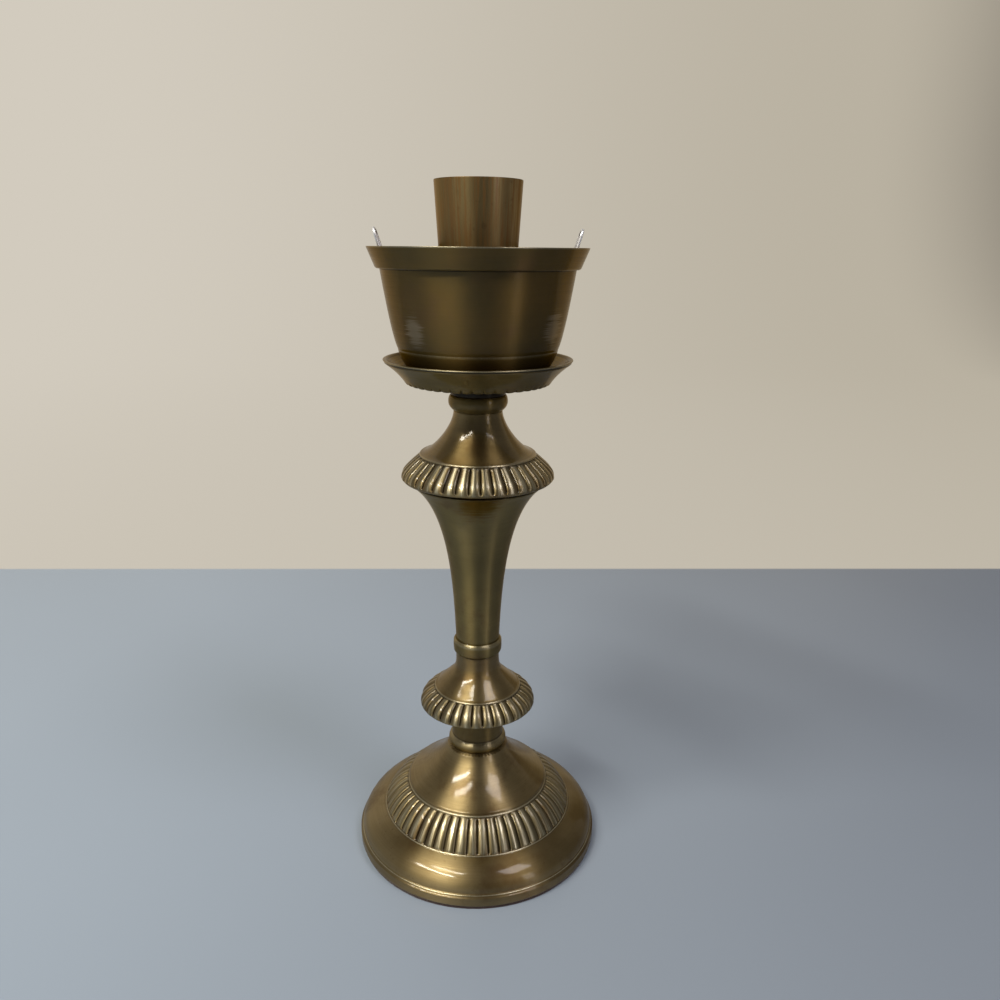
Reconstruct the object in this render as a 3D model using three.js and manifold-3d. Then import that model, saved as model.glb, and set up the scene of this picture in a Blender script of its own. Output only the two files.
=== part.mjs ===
// Turned brass hurricane candlestick, in millimetres. The origin is the middle
// of the felt's underside, +Z is up, and the two spring arms lie along X.
// Every brass piece is threaded on one tie rod: a nut under the base and a nut
// in the shade gallery clamp the stack, and the candle tube drops over the top.

import * as THREE from 'three';
import { mergeVertices } from 'three/addons/utils/BufferGeometryUtils.js';
import Module from 'manifold-3d';

const wasm = await Module();
wasm.setup();

// Clearances
const boreClearance = 0.3;
const spigotClearance = 0.3;
const armClearance = 0.3;
const runClearance = 0.3;

// Tie rod with its nuts and washers
const rodRadius = 3.0;
const rodTail = 2.2;
const rodHead = 1.4;
const rodChamfer = 0.5;
const nutAcross = 10.0;
const nutHeight = 5.0;
const nutChamferAngle = 30;
const baseWasherRadius = 10.0;
const baseWasherThickness = 1.6;
const lockWasherRadius = 5.4;
const lockWasherThickness = 1.2;
const lockWasherGap = 14;
const clampWasherThickness = 1.2;
const clampWasherMargin = 0.9;

// Felt under the base
const feltThickness = 1.0;
const feltSetback = 0.3;
const feltHoleRadius = 14.0;

// Base: rim, ovolo, fluted band and bell, hollow underneath
const baseRadius = 41.3;
const baseSideHeight = 3.1;
const baseRimRounding = 0.5;
const baseShoulderInset = 0.9;
const ovoloWidth = 8.1;
const ovoloHeight = 7.9;
const baseBandWidth = 8.1;
const baseBandHeight = 8.4;
const baseFlutes = 54;
const baseFluteDepth = 0.9;
const baseFilletHeight = 0.8;
const baseBellStep = 0.4;
const baseNeckRadius = 10.2;
const baseBellHeight = 12.4;
const baseRimWall = 2.7;
const baseWall = 2.4;
const bossRadius = 8.0;
const bossDrop = 2.0;
const bossRootRadius = 12.0;
const baseRoofThickness = 12.4;
const ovoloHandles = [[0, 0.5], [0.45, 0.84]];
const baseBandHandles = [[0.31, 0.53], [0.57, 0.79]];
const baseBellHandles = [[0.41, 0.25], [0.88, 0.67]];

// Collar on the base, with the plain neck under the lower knop
const collarRadius = 9.8;
const collarBulge = 1.0;
const collarHeight = 4.2;
const neckRadius = 8.7;
const neckHeight = 11.9;

// Lower knop
const lowerKnopRadius = 19.4;
const lowerKnopEdgeInset = 0.7;
const lowerKnopEdgeHeight = 0.5;
const lowerKnopFlutes = 32;
const lowerKnopFluteDepth = 1.0;
const lowerKnopBandWidth = 4.8;
const lowerKnopBandHeight = 5.6;
const lowerKnopLipHeight = 0.6;
const lowerKnopDomeHeight = 12.3;
const lowerKnopNeckRadius = 7.2;
const lowerKnopWall = 3.9;
const lowerKnopRecessDepth = 2.0;
const lowerKnopBandHandles = [[0, 0.47], [0.48, 0.74]];
const lowerKnopBellHandles = [[1, 0.54], [1, 0.44]];

// Ring between the lower knop and the stem
const stemRingRadius = 8.1;
const stemRingHeight = 4.9;
const stemRingRounding = 0.9;
const stemRingInset = 0.6;

// Stem, with the spigot that centres the upper knop
const stemFootRadius = 7.2;
const stemTopRadius = 20.7;
const stemHeight = 54.0;
const stemTopEdge = 0.4;
const stemSpigotInset = 2.3;
const stemSpigotHeight = 2.2;
const stemHandles = [[0.06, 0.33], [0.14, 0.82]];

// Upper knop
const upperKnopRadius = 24.1;
const upperKnopEdgeInset = 0.5;
const upperKnopEdgeHeight = 0.7;
const upperKnopFlutes = 39;
const upperKnopFluteDepth = 1.0;
const upperKnopBandWidth = 5.7;
const upperKnopBandHeight = 7.0;
const upperKnopLipHeight = 0.6;
const upperKnopBellHeight = 13.3;
const upperKnopNeckRadius = 7.6;
const upperKnopRecessDepth = 0.9;
const upperKnopBandHandles = [[0, 0.34], [0.35, 0.52]];
const upperKnopBellHandles = [[0.36, 0.05], [1, 0.65]];

// Bead under the saucer
const beadRadius = 9.2;
const beadLowerHeight = 2.9;
const beadUpperHeight = 2.0;
const beadLowerHandles = [[0.5, 0.25], [1, 0.5]];
const beadUpperHandles = [[0, 0.5], [0.4, 0.9]];

// Saucer
const saucerBossRadius = 8.5;
const saucerBossHeight = 3.6;
const saucerFloorThickness = 2.3;
const saucerRimRadius = 28.8;
const saucerFlangeWidth = 4.4;
const saucerFlangeHeight = 4.2;
const saucerFootWidth = 2.2;
const saucerKneeHeight = 3.2;
const saucerWall = 1.1;

// Shade gallery: the cup that a glass shade stands in
const cupFootRadius = 18.8;
const cupWaistRadius = 24.2;
const cupWaistHeight = 8.4;
const cupMouthRadius = 28.9;
const cupWallHeight = 22.8;
const cupLedgeWidth = 1.3;
const cupLipFlare = 2.4;
const cupLipHeight = 6.1;
const cupWall = 1.0;
const cupFloorThickness = 1.0;
const cupFootHandles = [[0.41, 0.155], [0.89, 0.595]];
const cupWallHandles = [[0.31, 0.15], [0.68, 0.59]];
const cupInsideWallHandles = [[0.32, 0.41], [0.69, 0.85]];
const cupInsideFootHandles = [[0.11, 0.405], [0.59, 0.845]];

// Wire spring: two runs clamped on the floor and one hairpin arm at each side
const wireRadius = 0.45;
const armFootRadius = 17.2;
const armTipWidth = 4.0;
const armTipRise = 5.4;

// Candle tube, loose over the upper nut
const tubeMouthRadius = 12.85;
const tubeFootRadius = 9.55;
const tubeHeight = 52.5;
const tubeWall = 1.0;
const tubeFloorThickness = 1.2;
const tubeNutClearance = 1.2;

// Facets
const wideSegments = 44;
const middleSegments = 36;
const smallSegments = 20;
const segmentsPerFlute = 4;
const fluteSteps = 3;
const mediumSteps = 4;
const fineSteps = 6;
const tipSteps = 8;
const wireSides = 8;

// Sizes that follow from those above
const baseShoulderRadius = baseRadius - baseShoulderInset;
const ovoloTopRadius = baseShoulderRadius - ovoloWidth;
const baseBandTopRadius = ovoloTopRadius - baseBandWidth;
const baseBellFootRadius = baseBandTopRadius - baseBellStep;
const lowerKnopEdgeRadius = lowerKnopRadius - lowerKnopEdgeInset;
const upperKnopEdgeRadius = upperKnopRadius - upperKnopEdgeInset;
const stemSpigotRadius = stemTopRadius - stemSpigotInset;
const saucerKneeRadius = saucerRimRadius - saucerFlangeWidth;
const saucerFootRadius = saucerKneeRadius - saucerFootWidth;
const cupLipRadius = cupMouthRadius + cupLedgeWidth;
const cupRimRadius = cupLipRadius + cupLipFlare;
const boreRadius = rodRadius + boreClearance;
const nutCornerRadius = nutAcross / 2 / Math.cos(Math.PI / 6);
const tubeHoleRadius = nutCornerRadius + tubeNutClearance;
const clampWasherRadius = tubeFootRadius + clampWasherMargin;
const baseShoulderHeight = baseSideHeight + baseRimRounding;
const ovoloTopHeight = baseShoulderHeight + ovoloHeight;
const baseBandTopHeight = ovoloTopHeight + baseBandHeight;
const baseBellFootHeight = baseBandTopHeight + baseFilletHeight + baseBellStep;
const baseHeight = baseBellFootHeight + baseBellHeight;
const bossHeight = baseHeight - baseRoofThickness - bossDrop;
const lowerKnopHeight = lowerKnopEdgeHeight + lowerKnopBandHeight + lowerKnopLipHeight
  + lowerKnopDomeHeight;
const upperKnopHeight = upperKnopEdgeHeight + upperKnopBandHeight + upperKnopLipHeight
  + upperKnopBellHeight;
const saucerFloorHeight = saucerBossHeight + saucerFloorThickness;
const cupLedgeHeight = cupWallHeight + cupWaistHeight + cupFloorThickness;
const cupHeight = cupWallHeight + cupWaistHeight + cupLipHeight;

// Heights of the seats, from the table up
const baseSeat = feltThickness;
const washerSeat = baseSeat + bossHeight - baseWasherThickness;
const lockWasherSeat = washerSeat - lockWasherThickness;
const baseNutSeat = lockWasherSeat - nutHeight;
const collarSeat = baseSeat + baseHeight;
const lowerKnopSeat = collarSeat + collarHeight + neckHeight;
const lowerKnopCeiling = lowerKnopSeat + lowerKnopRecessDepth;
const stemRingSeat = lowerKnopSeat + lowerKnopHeight;
const stemSeat = stemRingSeat + stemRingHeight;
const upperKnopCeiling = stemSeat + stemHeight + stemSpigotHeight;
const upperKnopSeat = upperKnopCeiling - upperKnopRecessDepth;
const beadSeat = upperKnopSeat + upperKnopHeight;
const saucerSeat = beadSeat + beadLowerHeight + beadUpperHeight;
const cupSeat = saucerSeat + saucerFloorHeight;
const runSeat = cupSeat + cupFloorThickness;
const clampWasherSeat = runSeat + 2 * wireRadius;
const tubeSeat = clampWasherSeat + clampWasherThickness;

// Materials
function metal(color, roughness) {
  return new THREE.MeshStandardMaterial({ color, roughness, metalness: 1 });
}

const brass = metal(0x7d6a3c, 0.32);
const darkBrass = metal(0x5b4c30, 0.4);
const steel = metal(0x8f9092, 0.35);
const springSteel = metal(0xc4c5c8, 0.15);
const felt = new THREE.MeshStandardMaterial({ color: 0x2a1512, roughness: 1, metalness: 0 });

const parts = new THREE.Group();

function add(name, geometry, material, height) {
  const mesh = new THREE.Mesh(geometry, material);
  mesh.name = name;
  mesh.position.z = height;
  parts.add(mesh);
  return mesh;
}

// Outlines are lists of points (radius, height) that run up the outside
function at(radius, height) {
  return new THREE.Vector2(radius, height);
}

// A smooth run between two points. Its two handles are given as shares of its
// span in radius and in height, so that the curve keeps its character.
function flow(from, to, handles, steps) {
  const [first, second] = handles.map(([acrossShare, upShare]) => at(
    THREE.MathUtils.lerp(from.x, to.x, acrossShare),
    THREE.MathUtils.lerp(from.y, to.y, upShare),
  ));
  return new THREE.CubicBezierCurve(from, first, second, to).getPoints(steps);
}

// A bead's round face, from one point up to another on the same vertical line
function halfRound(radius, low, high, bulge) {
  const curve = new THREE.EllipseCurve(
    radius, (low + high) / 2, bulge, (high - low) / 2, -Math.PI / 2, Math.PI / 2,
  );
  return curve.getPoints(mediumSteps);
}

// Turns a closed outline about Z
function turn(outline, segments) {
  const ring = [...outline, outline[0].clone()];
  return new THREE.LatheGeometry(ring, segments).rotateX(Math.PI / 2);
}

// Turns an outline whose two ends lie on the axis
function turnSolid(outline, segments) {
  return new THREE.LatheGeometry(outline, segments).rotateX(Math.PI / 2);
}

function solidOf(geometry) {
  const bare = geometry.clone();
  bare.deleteAttribute('normal');
  bare.deleteAttribute('uv');
  const merged = mergeVertices(bare);
  return new wasm.Manifold(new wasm.Mesh({
    numProp: 3,
    vertProperties: new Float32Array(merged.attributes.position.array),
    triVerts: new Uint32Array(merged.index.array),
  }));
}

function geometryOf(solid) {
  const mesh = solid.getMesh();
  const geometry = new THREE.BufferGeometry();
  geometry.setAttribute('position', new THREE.BufferAttribute(mesh.vertProperties, mesh.numProp));
  geometry.setIndex(new THREE.BufferAttribute(mesh.triVerts, 1));
  return geometry;
}

// One ring of points about Z at a point of the outline. A fluted ring sinks
// along the outline's normal between its ribs, whose section is half an ellipse.
function ringOfPoints(point, normal, count, flutes, depth) {
  const points = [];
  for (let index = 0; index < count; index += 1) {
    const angle = 2 * Math.PI * index / count;
    const pitches = flutes * index / count;
    const acrossRib = 2 * (pitches - Math.round(pitches));
    const sink = depth * (1 - Math.sqrt(1 - acrossRib ** 2));
    const radius = point.x - normal.x * sink;
    points.push([
      radius * Math.cos(angle),
      radius * Math.sin(angle),
      point.y - normal.y * sink,
    ]);
  }
  return points;
}

// Turns a closed outline about Z with one stretch of it fluted. The plain rings
// keep few points and the fluted ones have several to a rib; each two rings are
// joined by triangles that step round whichever of them lags behind.
function turnFluted(before, band, after, flutes, depth) {
  const outline = [...before, ...band, ...after];
  const last = outline.length - 1;
  const rings = outline.map((point, row) => {
    const along = outline[row < last ? row + 1 : 0].clone();
    along.sub(outline[row > 0 ? row - 1 : last]).normalize();
    const fluted = row >= before.length && row < before.length + band.length;
    return ringOfPoints(
      point,
      at(along.y, -along.x),
      fluted ? flutes * segmentsPerFlute : middleSegments,
      flutes,
      fluted ? depth : 0,
    );
  });
  const starts = [];
  let total = 0;
  for (const ring of rings) {
    starts.push(total);
    total += ring.length;
  }
  const triangles = [];
  rings.forEach((lower, row) => {
    const upperRow = row < last ? row + 1 : 0;
    const upper = rings[upperRow];
    const low = (step) => starts[row] + step % lower.length;
    const high = (step) => starts[upperRow] + step % upper.length;
    let lowStep = 0;
    let highStep = 0;
    while (lowStep < lower.length || highStep < upper.length) {
      if ((lowStep + 1) / lower.length <= (highStep + 1) / upper.length) {
        triangles.push(low(lowStep), low(lowStep + 1), high(highStep));
        lowStep += 1;
      } else {
        triangles.push(low(lowStep), high(highStep + 1), high(highStep));
        highStep += 1;
      }
    }
  });
  const geometry = new THREE.BufferGeometry();
  geometry.setAttribute('position', new THREE.Float32BufferAttribute(rings.flat(2), 3));
  geometry.setIndex(triangles);
  return geometry;
}

function washer(outerRadius, thickness, segments) {
  return turn([
    at(outerRadius, 0),
    at(outerRadius, thickness),
    at(boreRadius, thickness),
    at(boreRadius, 0),
  ], segments);
}

// A split spring washer: a flat ring with a narrow gap
function lockWasher() {
  const gap = THREE.MathUtils.degToRad(lockWasherGap);
  const shape = new THREE.Shape();
  shape.absarc(0, 0, lockWasherRadius, gap / 2, 2 * Math.PI - gap / 2, false);
  shape.absarc(0, 0, boreRadius, 2 * Math.PI - gap / 2, gap / 2, true);
  return new THREE.ExtrudeGeometry(shape, {
    depth: lockWasherThickness,
    bevelEnabled: false,
    curveSegments: smallSegments / 2,
  });
}

// A hexagonal nut, its corners taken off by a turned chamfer at both faces
function hexNut() {
  const hexagon = new THREE.Shape();
  for (let corner = 0; corner < 6; corner += 1) {
    const angle = corner * Math.PI / 3;
    const x = nutCornerRadius * Math.cos(angle);
    const y = nutCornerRadius * Math.sin(angle);
    if (corner === 0) {
      hexagon.moveTo(x, y);
    } else {
      hexagon.lineTo(x, y);
    }
  }
  hexagon.closePath();
  const hole = new THREE.Path();
  hole.absarc(0, 0, boreRadius, 0, 2 * Math.PI, true);
  hexagon.holes.push(hole);
  const blank = new THREE.ExtrudeGeometry(hexagon, {
    depth: nutHeight,
    bevelEnabled: false,
    curveSegments: smallSegments / 2,
  });
  const faceRadius = nutAcross / 2;
  const chamferRise = (nutCornerRadius - faceRadius)
    * Math.tan(THREE.MathUtils.degToRad(nutChamferAngle));
  const barrel = turnSolid([
    at(0, 0),
    at(faceRadius, 0),
    at(nutCornerRadius, chamferRise),
    at(nutCornerRadius, nutHeight - chamferRise),
    at(faceRadius, nutHeight),
    at(0, nutHeight),
  ], smallSegments);
  return geometryOf(solidOf(blank).intersect(solidOf(barrel)));
}

function tieRod() {
  const length = tubeSeat + nutHeight + rodHead - (baseNutSeat - rodTail);
  return turnSolid([
    at(0, 0),
    at(rodRadius - rodChamfer, 0),
    at(rodRadius, rodChamfer),
    at(rodRadius, length - rodChamfer),
    at(rodRadius - rodChamfer, length),
    at(0, length),
  ], smallSegments);
}

function feltPad() {
  const radius = baseRadius - feltSetback;
  return turn([
    at(radius, 0),
    at(radius, feltThickness),
    at(feltHoleRadius, feltThickness),
    at(feltHoleRadius, 0),
  ], wideSegments);
}

function base() {
  const shoulder = at(baseShoulderRadius, baseShoulderHeight);
  const bandFoot = at(ovoloTopRadius, ovoloTopHeight);
  const bandTop = at(baseBandTopRadius, baseBandTopHeight);
  const bellFoot = at(baseBellFootRadius, baseBellFootHeight);
  const neck = at(baseNeckRadius, baseHeight);
  const roof = baseHeight - baseRoofThickness;
  const rimInside = baseRadius - baseRimWall;
  const before = [
    at(baseRadius, 0),
    at(baseRadius, baseSideHeight),
    ...flow(shoulder, bandFoot, ovoloHandles, mediumSteps),
  ];
  const band = flow(bandFoot, bandTop, baseBandHandles, fluteSteps).slice(1, -1);
  const after = [
    bandTop,
    at(bandTop.x, bandTop.y + baseFilletHeight),
    ...flow(bellFoot, neck, baseBellHandles, fineSteps),
    at(boreRadius, baseHeight),
    at(boreRadius, bossHeight),
    at(bossRadius, bossHeight),
    at(bossRadius, roof),
    at(bossRootRadius, roof),
    at(bandTop.x - baseWall, bandTop.y - baseWall),
    at(bandFoot.x - baseWall, bandFoot.y - baseWall),
    at(rimInside, baseSideHeight),
    at(rimInside, 0),
  ];
  return turnFluted(before, band, after, baseFlutes, baseFluteDepth);
}

// The ring on top of the base and the neck in one piece. The neck's top seats
// on the ceiling of the lower knop's recess.
function baseCollar() {
  const top = lowerKnopCeiling - collarSeat;
  return turn([
    ...halfRound(collarRadius - collarBulge, 0, collarHeight, collarBulge),
    at(neckRadius, collarHeight),
    at(neckRadius, top),
    at(boreRadius, top),
    at(boreRadius, 0),
  ], middleSegments);
}

// A knop with a fluted quarter round below and a plain bell above, open below
// as far as its recess. The ribs are cut off by a plain turned edge at its foot.
function knop(size) {
  const edge = at(size.edgeRadius, 0);
  const belly = at(size.radius, size.edgeHeight);
  const seam = at(size.seamRadius, size.edgeHeight + size.bandHeight);
  const bellFoot = at(size.seamRadius - size.lipHeight, seam.y + size.lipHeight);
  const neck = at(size.neckRadius, size.height);
  const band = flow(belly, seam, size.bandHandles, fluteSteps).slice(0, -1);
  const after = [
    seam,
    ...flow(bellFoot, neck, size.bellHandles, fineSteps),
    at(boreRadius, size.height),
    at(boreRadius, size.recessDepth),
    at(size.recessRadius, size.recessDepth),
    at(size.recessRadius, 0),
  ];
  return turnFluted([edge], band, after, size.flutes, size.fluteDepth);
}

function lowerKnop() {
  return knop({
    edgeRadius: lowerKnopEdgeRadius,
    edgeHeight: lowerKnopEdgeHeight,
    radius: lowerKnopRadius,
    seamRadius: lowerKnopRadius - lowerKnopBandWidth,
    bandHeight: lowerKnopBandHeight,
    lipHeight: lowerKnopLipHeight,
    neckRadius: lowerKnopNeckRadius,
    height: lowerKnopHeight,
    flutes: lowerKnopFlutes,
    fluteDepth: lowerKnopFluteDepth,
    recessRadius: lowerKnopEdgeRadius - lowerKnopWall,
    recessDepth: lowerKnopRecessDepth,
    bandHandles: lowerKnopBandHandles,
    bellHandles: lowerKnopBellHandles,
  });
}

function upperKnop() {
  return knop({
    edgeRadius: upperKnopEdgeRadius,
    edgeHeight: upperKnopEdgeHeight,
    radius: upperKnopRadius,
    seamRadius: upperKnopRadius - upperKnopBandWidth,
    bandHeight: upperKnopBandHeight,
    lipHeight: upperKnopLipHeight,
    neckRadius: upperKnopNeckRadius,
    height: upperKnopHeight,
    flutes: upperKnopFlutes,
    fluteDepth: upperKnopFluteDepth,
    recessRadius: stemSpigotRadius + spigotClearance,
    recessDepth: upperKnopRecessDepth,
    bandHandles: upperKnopBandHandles,
    bellHandles: upperKnopBellHandles,
  });
}

function stemRing() {
  return turn([
    at(stemRingRadius - stemRingInset, 0),
    at(stemRingRadius, stemRingRounding),
    at(stemRingRadius, stemRingHeight - stemRingRounding),
    at(stemRingRadius - stemRingInset, stemRingHeight),
    at(boreRadius, stemRingHeight),
    at(boreRadius, 0),
  ], middleSegments);
}

function stem() {
  const foot = at(stemFootRadius, 0);
  const top = at(stemTopRadius, stemHeight - stemTopEdge);
  return turn([
    ...flow(foot, top, stemHandles, fineSteps),
    at(stemTopRadius, stemHeight),
    at(stemSpigotRadius, stemHeight),
    at(stemSpigotRadius, stemHeight + stemSpigotHeight),
    at(boreRadius, stemHeight + stemSpigotHeight),
    at(boreRadius, 0),
  ], middleSegments);
}

function neckBead() {
  const foot = at(upperKnopNeckRadius, 0);
  const belly = at(beadRadius, beadLowerHeight);
  const top = at(saucerBossRadius, beadLowerHeight + beadUpperHeight);
  return turn([
    ...flow(foot, belly, beadLowerHandles, mediumSteps).slice(0, -1),
    ...flow(belly, top, beadUpperHandles, mediumSteps),
    at(boreRadius, top.y),
    at(boreRadius, 0),
  ], middleSegments);
}

// The saucer's side breaks at a knee between its foot and its wide flange
function saucer() {
  const knee = at(saucerKneeRadius, saucerBossHeight + saucerKneeHeight);
  const rim = at(saucerRimRadius, knee.y + saucerFlangeHeight);
  const floorEdge = saucerFootRadius + saucerFootWidth * saucerFloorThickness / saucerKneeHeight;
  return turn([
    at(saucerBossRadius, 0),
    at(saucerBossRadius, saucerBossHeight),
    at(saucerFootRadius, saucerBossHeight),
    knee,
    rim,
    at(rim.x - saucerWall, rim.y),
    at(knee.x - saucerWall / 2, knee.y + saucerWall / 2),
    at(floorEdge - saucerWall, saucerFloorHeight),
    at(boreRadius, saucerFloorHeight),
    at(boreRadius, 0),
  ], wideSegments);
}

function cup() {
  const foot = at(cupFootRadius, 0);
  const waist = at(cupWaistRadius, cupWaistHeight);
  const mouth = at(cupMouthRadius, cupWaistHeight + cupWallHeight);
  const insideMouth = at(cupMouthRadius - cupWall, cupLedgeHeight);
  const insideWaist = at(cupWaistRadius - cupWall, cupWaistHeight);
  const insideFoot = at(cupFootRadius - cupWall / 2, cupFloorThickness);
  return turn([
    ...flow(foot, waist, cupFootHandles, mediumSteps).slice(0, -1),
    ...flow(waist, mouth, cupWallHandles, mediumSteps),
    at(cupLipRadius - cupWall / 2, mouth.y),
    at(cupLipRadius, mouth.y + cupWall / 2),
    at(cupRimRadius, cupHeight),
    at(cupRimRadius - cupWall, cupHeight),
    at(cupLipRadius - cupWall / 2, cupLedgeHeight),
    ...flow(insideMouth, insideWaist, cupInsideWallHandles, mediumSteps).slice(0, -1),
    ...flow(insideWaist, insideFoot, cupInsideFootHandles, mediumSteps),
    at(boreRadius, cupFloorThickness),
    at(boreRadius, 0),
  ], wideSegments);
}

// A wire's centre line through a list of points, with one step between each
// two, so that straight runs stay one step and only the bends take more
class WireLine extends THREE.Curve {
  constructor(points) {
    super();
    this.points = points;
  }

  getPoint(share, target = new THREE.Vector3()) {
    const last = this.points.length - 1;
    const index = Math.min(Math.floor(share * last + 1e-9), last - 1);
    return target.lerpVectors(this.points[index], this.points[index + 1], share * last - index);
  }

  getPointAt(share, target) {
    return this.getPoint(share, target);
  }

  getTangentAt(share, target = new THREE.Vector3()) {
    const last = this.points.length - 1;
    const index = Math.round(share * last);
    const before = this.points[Math.max(index - 1, 0)];
    const after = this.points[Math.min(index + 1, last)];
    return target.subVectors(after, before).normalize();
  }
}

function wire(points) {
  const section = new THREE.Shape();
  section.absarc(0, 0, wireRadius, 0, 2 * Math.PI, false);
  return new THREE.ExtrudeGeometry(section, {
    steps: points.length - 1,
    curveSegments: wireSides,
    extrudePath: new WireLine(points),
  });
}

const runOffset = rodRadius + runClearance + wireRadius;

// One of the two straight wires that pass the rod and are clamped on the floor
function springRun() {
  const reach = armFootRadius - wireRadius - runClearance;
  return wire([new THREE.Vector3(-reach, 0, 0), new THREE.Vector3(reach, 0, 0)]);
}

// A hairpin in the XZ plane's +X side: it leans from its foot on the floor to
// just short of the gallery's ledge, and its round tip stands above the rim.
// Its own origin is the middle of its foot, which is where it bends.
function springArm() {
  const tipHalf = armTipWidth / 2;
  const ledgeRise = cupLedgeHeight - cupFloorThickness - wireRadius;
  const ledgeReach = cupMouthRadius - cupWall - armClearance - wireRadius;
  const lean = Math.atan2(Math.sqrt(ledgeReach ** 2 - tipHalf ** 2) - armFootRadius, ledgeRise);
  const tipRise = cupHeight - cupFloorThickness - wireRadius + armTipRise;
  const length = tipRise / Math.cos(lean) - wireRadius;
  const onArm = (along, across) => new THREE.Vector3(
    along * Math.sin(lean), across, along * Math.cos(lean),
  );
  const points = [onArm(0, -runOffset), onArm(length - tipHalf, -tipHalf)];
  for (let step = 1; step < tipSteps; step += 1) {
    const angle = Math.PI * step / tipSteps;
    points.push(onArm(
      length - tipHalf + tipHalf * Math.sin(angle),
      -tipHalf * Math.cos(angle),
    ));
  }
  points.push(onArm(length - tipHalf, tipHalf), onArm(0, runOffset));
  return wire(points);
}

function candleTube() {
  return turn([
    at(tubeFootRadius, 0),
    at(tubeMouthRadius, tubeHeight),
    at(tubeMouthRadius - tubeWall, tubeHeight),
    at(tubeFootRadius - tubeWall, tubeFloorThickness),
    at(tubeHoleRadius, tubeFloorThickness),
    at(tubeHoleRadius, 0),
  ], middleSegments);
}

add('felt_pad', feltPad(), felt, 0);
add('base', base(), brass, baseSeat);
add('base_washer', washer(baseWasherRadius, baseWasherThickness, smallSegments), steel, washerSeat);
add('base_lock_washer', lockWasher(), steel, lockWasherSeat);
add('base_nut', hexNut(), steel, baseNutSeat);
add('tie_rod', tieRod(), steel, baseNutSeat - rodTail);
add('base_collar', baseCollar(), brass, collarSeat);
add('lower_knop', lowerKnop(), brass, lowerKnopSeat);
add('stem_ring', stemRing(), brass, stemRingSeat);
add('stem', stem(), brass, stemSeat);
add('upper_knop', upperKnop(), brass, upperKnopSeat);
add('neck_bead', neckBead(), brass, beadSeat);
add('saucer', saucer(), brass, saucerSeat);
add('cup', cup(), brass, cupSeat);
for (const [name, side] of [['spring_run_front', -1], ['spring_run_back', 1]]) {
  const run = add(name, springRun(), springSteel, runSeat + wireRadius);
  run.position.y = side * runOffset;
}
for (const [name, side] of [['spring_arm_left', -1], ['spring_arm_right', 1]]) {
  const arm = add(name, springArm(), springSteel, runSeat + wireRadius);
  arm.position.x = side * armFootRadius;
  arm.rotation.z = side > 0 ? 0 : Math.PI;
}
add('clamp_washer', washer(clampWasherRadius, clampWasherThickness, smallSegments), darkBrass,
  clampWasherSeat);
add('top_nut', hexNut(), steel, tubeSeat);
add('candle_tube', candleTube(), brass, tubeSeat);

export default parts;
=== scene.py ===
import math
import random
from collections import namedtuple

import bpy
from mathutils import Matrix, Vector, noise

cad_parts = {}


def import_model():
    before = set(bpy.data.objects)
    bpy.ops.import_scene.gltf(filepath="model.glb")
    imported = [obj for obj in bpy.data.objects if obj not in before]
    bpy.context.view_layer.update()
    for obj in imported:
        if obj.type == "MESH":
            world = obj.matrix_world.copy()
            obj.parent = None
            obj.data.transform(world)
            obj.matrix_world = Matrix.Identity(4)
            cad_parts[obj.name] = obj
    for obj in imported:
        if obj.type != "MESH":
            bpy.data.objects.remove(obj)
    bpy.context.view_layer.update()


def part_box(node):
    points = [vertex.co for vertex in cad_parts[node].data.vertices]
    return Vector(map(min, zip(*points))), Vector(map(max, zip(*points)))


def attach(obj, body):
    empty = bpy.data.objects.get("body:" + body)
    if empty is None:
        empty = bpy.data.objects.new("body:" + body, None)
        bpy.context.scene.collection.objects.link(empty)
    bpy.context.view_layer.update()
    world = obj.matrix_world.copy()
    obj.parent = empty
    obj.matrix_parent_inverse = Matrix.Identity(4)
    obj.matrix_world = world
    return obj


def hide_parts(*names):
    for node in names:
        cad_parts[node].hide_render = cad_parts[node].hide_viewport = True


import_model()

MM = 0.001
TURN = 2 * math.pi

# Sizes of the forms, in millimetres. Where a piece stands is read from the frame.
BORE = 3.3

BASE_RADIUS = 41.3
BASE_SIDE = 3.1
BASE_SHOULDER_INSET = 0.9
BASE_SHOULDER_RISE = 0.5
OVOLO_WIDTH = 8.1
OVOLO_HEIGHT = 7.9
BASE_BAND_WIDTH = 8.1
BASE_BAND_HEIGHT = 8.4
BASE_RIBS = 54
BASE_RIB_DEPTH = 0.8
BASE_FILLET = 0.8
BASE_BELL_STEP = 0.4
BASE_BELL_HEIGHT = 12.4
BASE_NECK_RADIUS = 10.2
BASE_RIM_WALL = 2.7
BASE_WALL = 2.4
BOSS_RADIUS = 8.0
BOSS_DROP = 2.0
BOSS_ROOT_RADIUS = 12.0
BASE_ROOF = 12.4
OVOLO_CURVE = ((0, 0.5), (0.45, 0.84))
BASE_BAND_CURVE = ((0.31, 0.53), (0.57, 0.79))
BASE_BELL_CURVE = ((0.41, 0.25), (0.88, 0.67))

COLLAR_RADIUS = 9.8
COLLAR_BULGE = 1.0
COLLAR_THICKNESS = 2.05
COLLAR_HEIGHT = 4.2
NECK_RADIUS = 8.7

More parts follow.
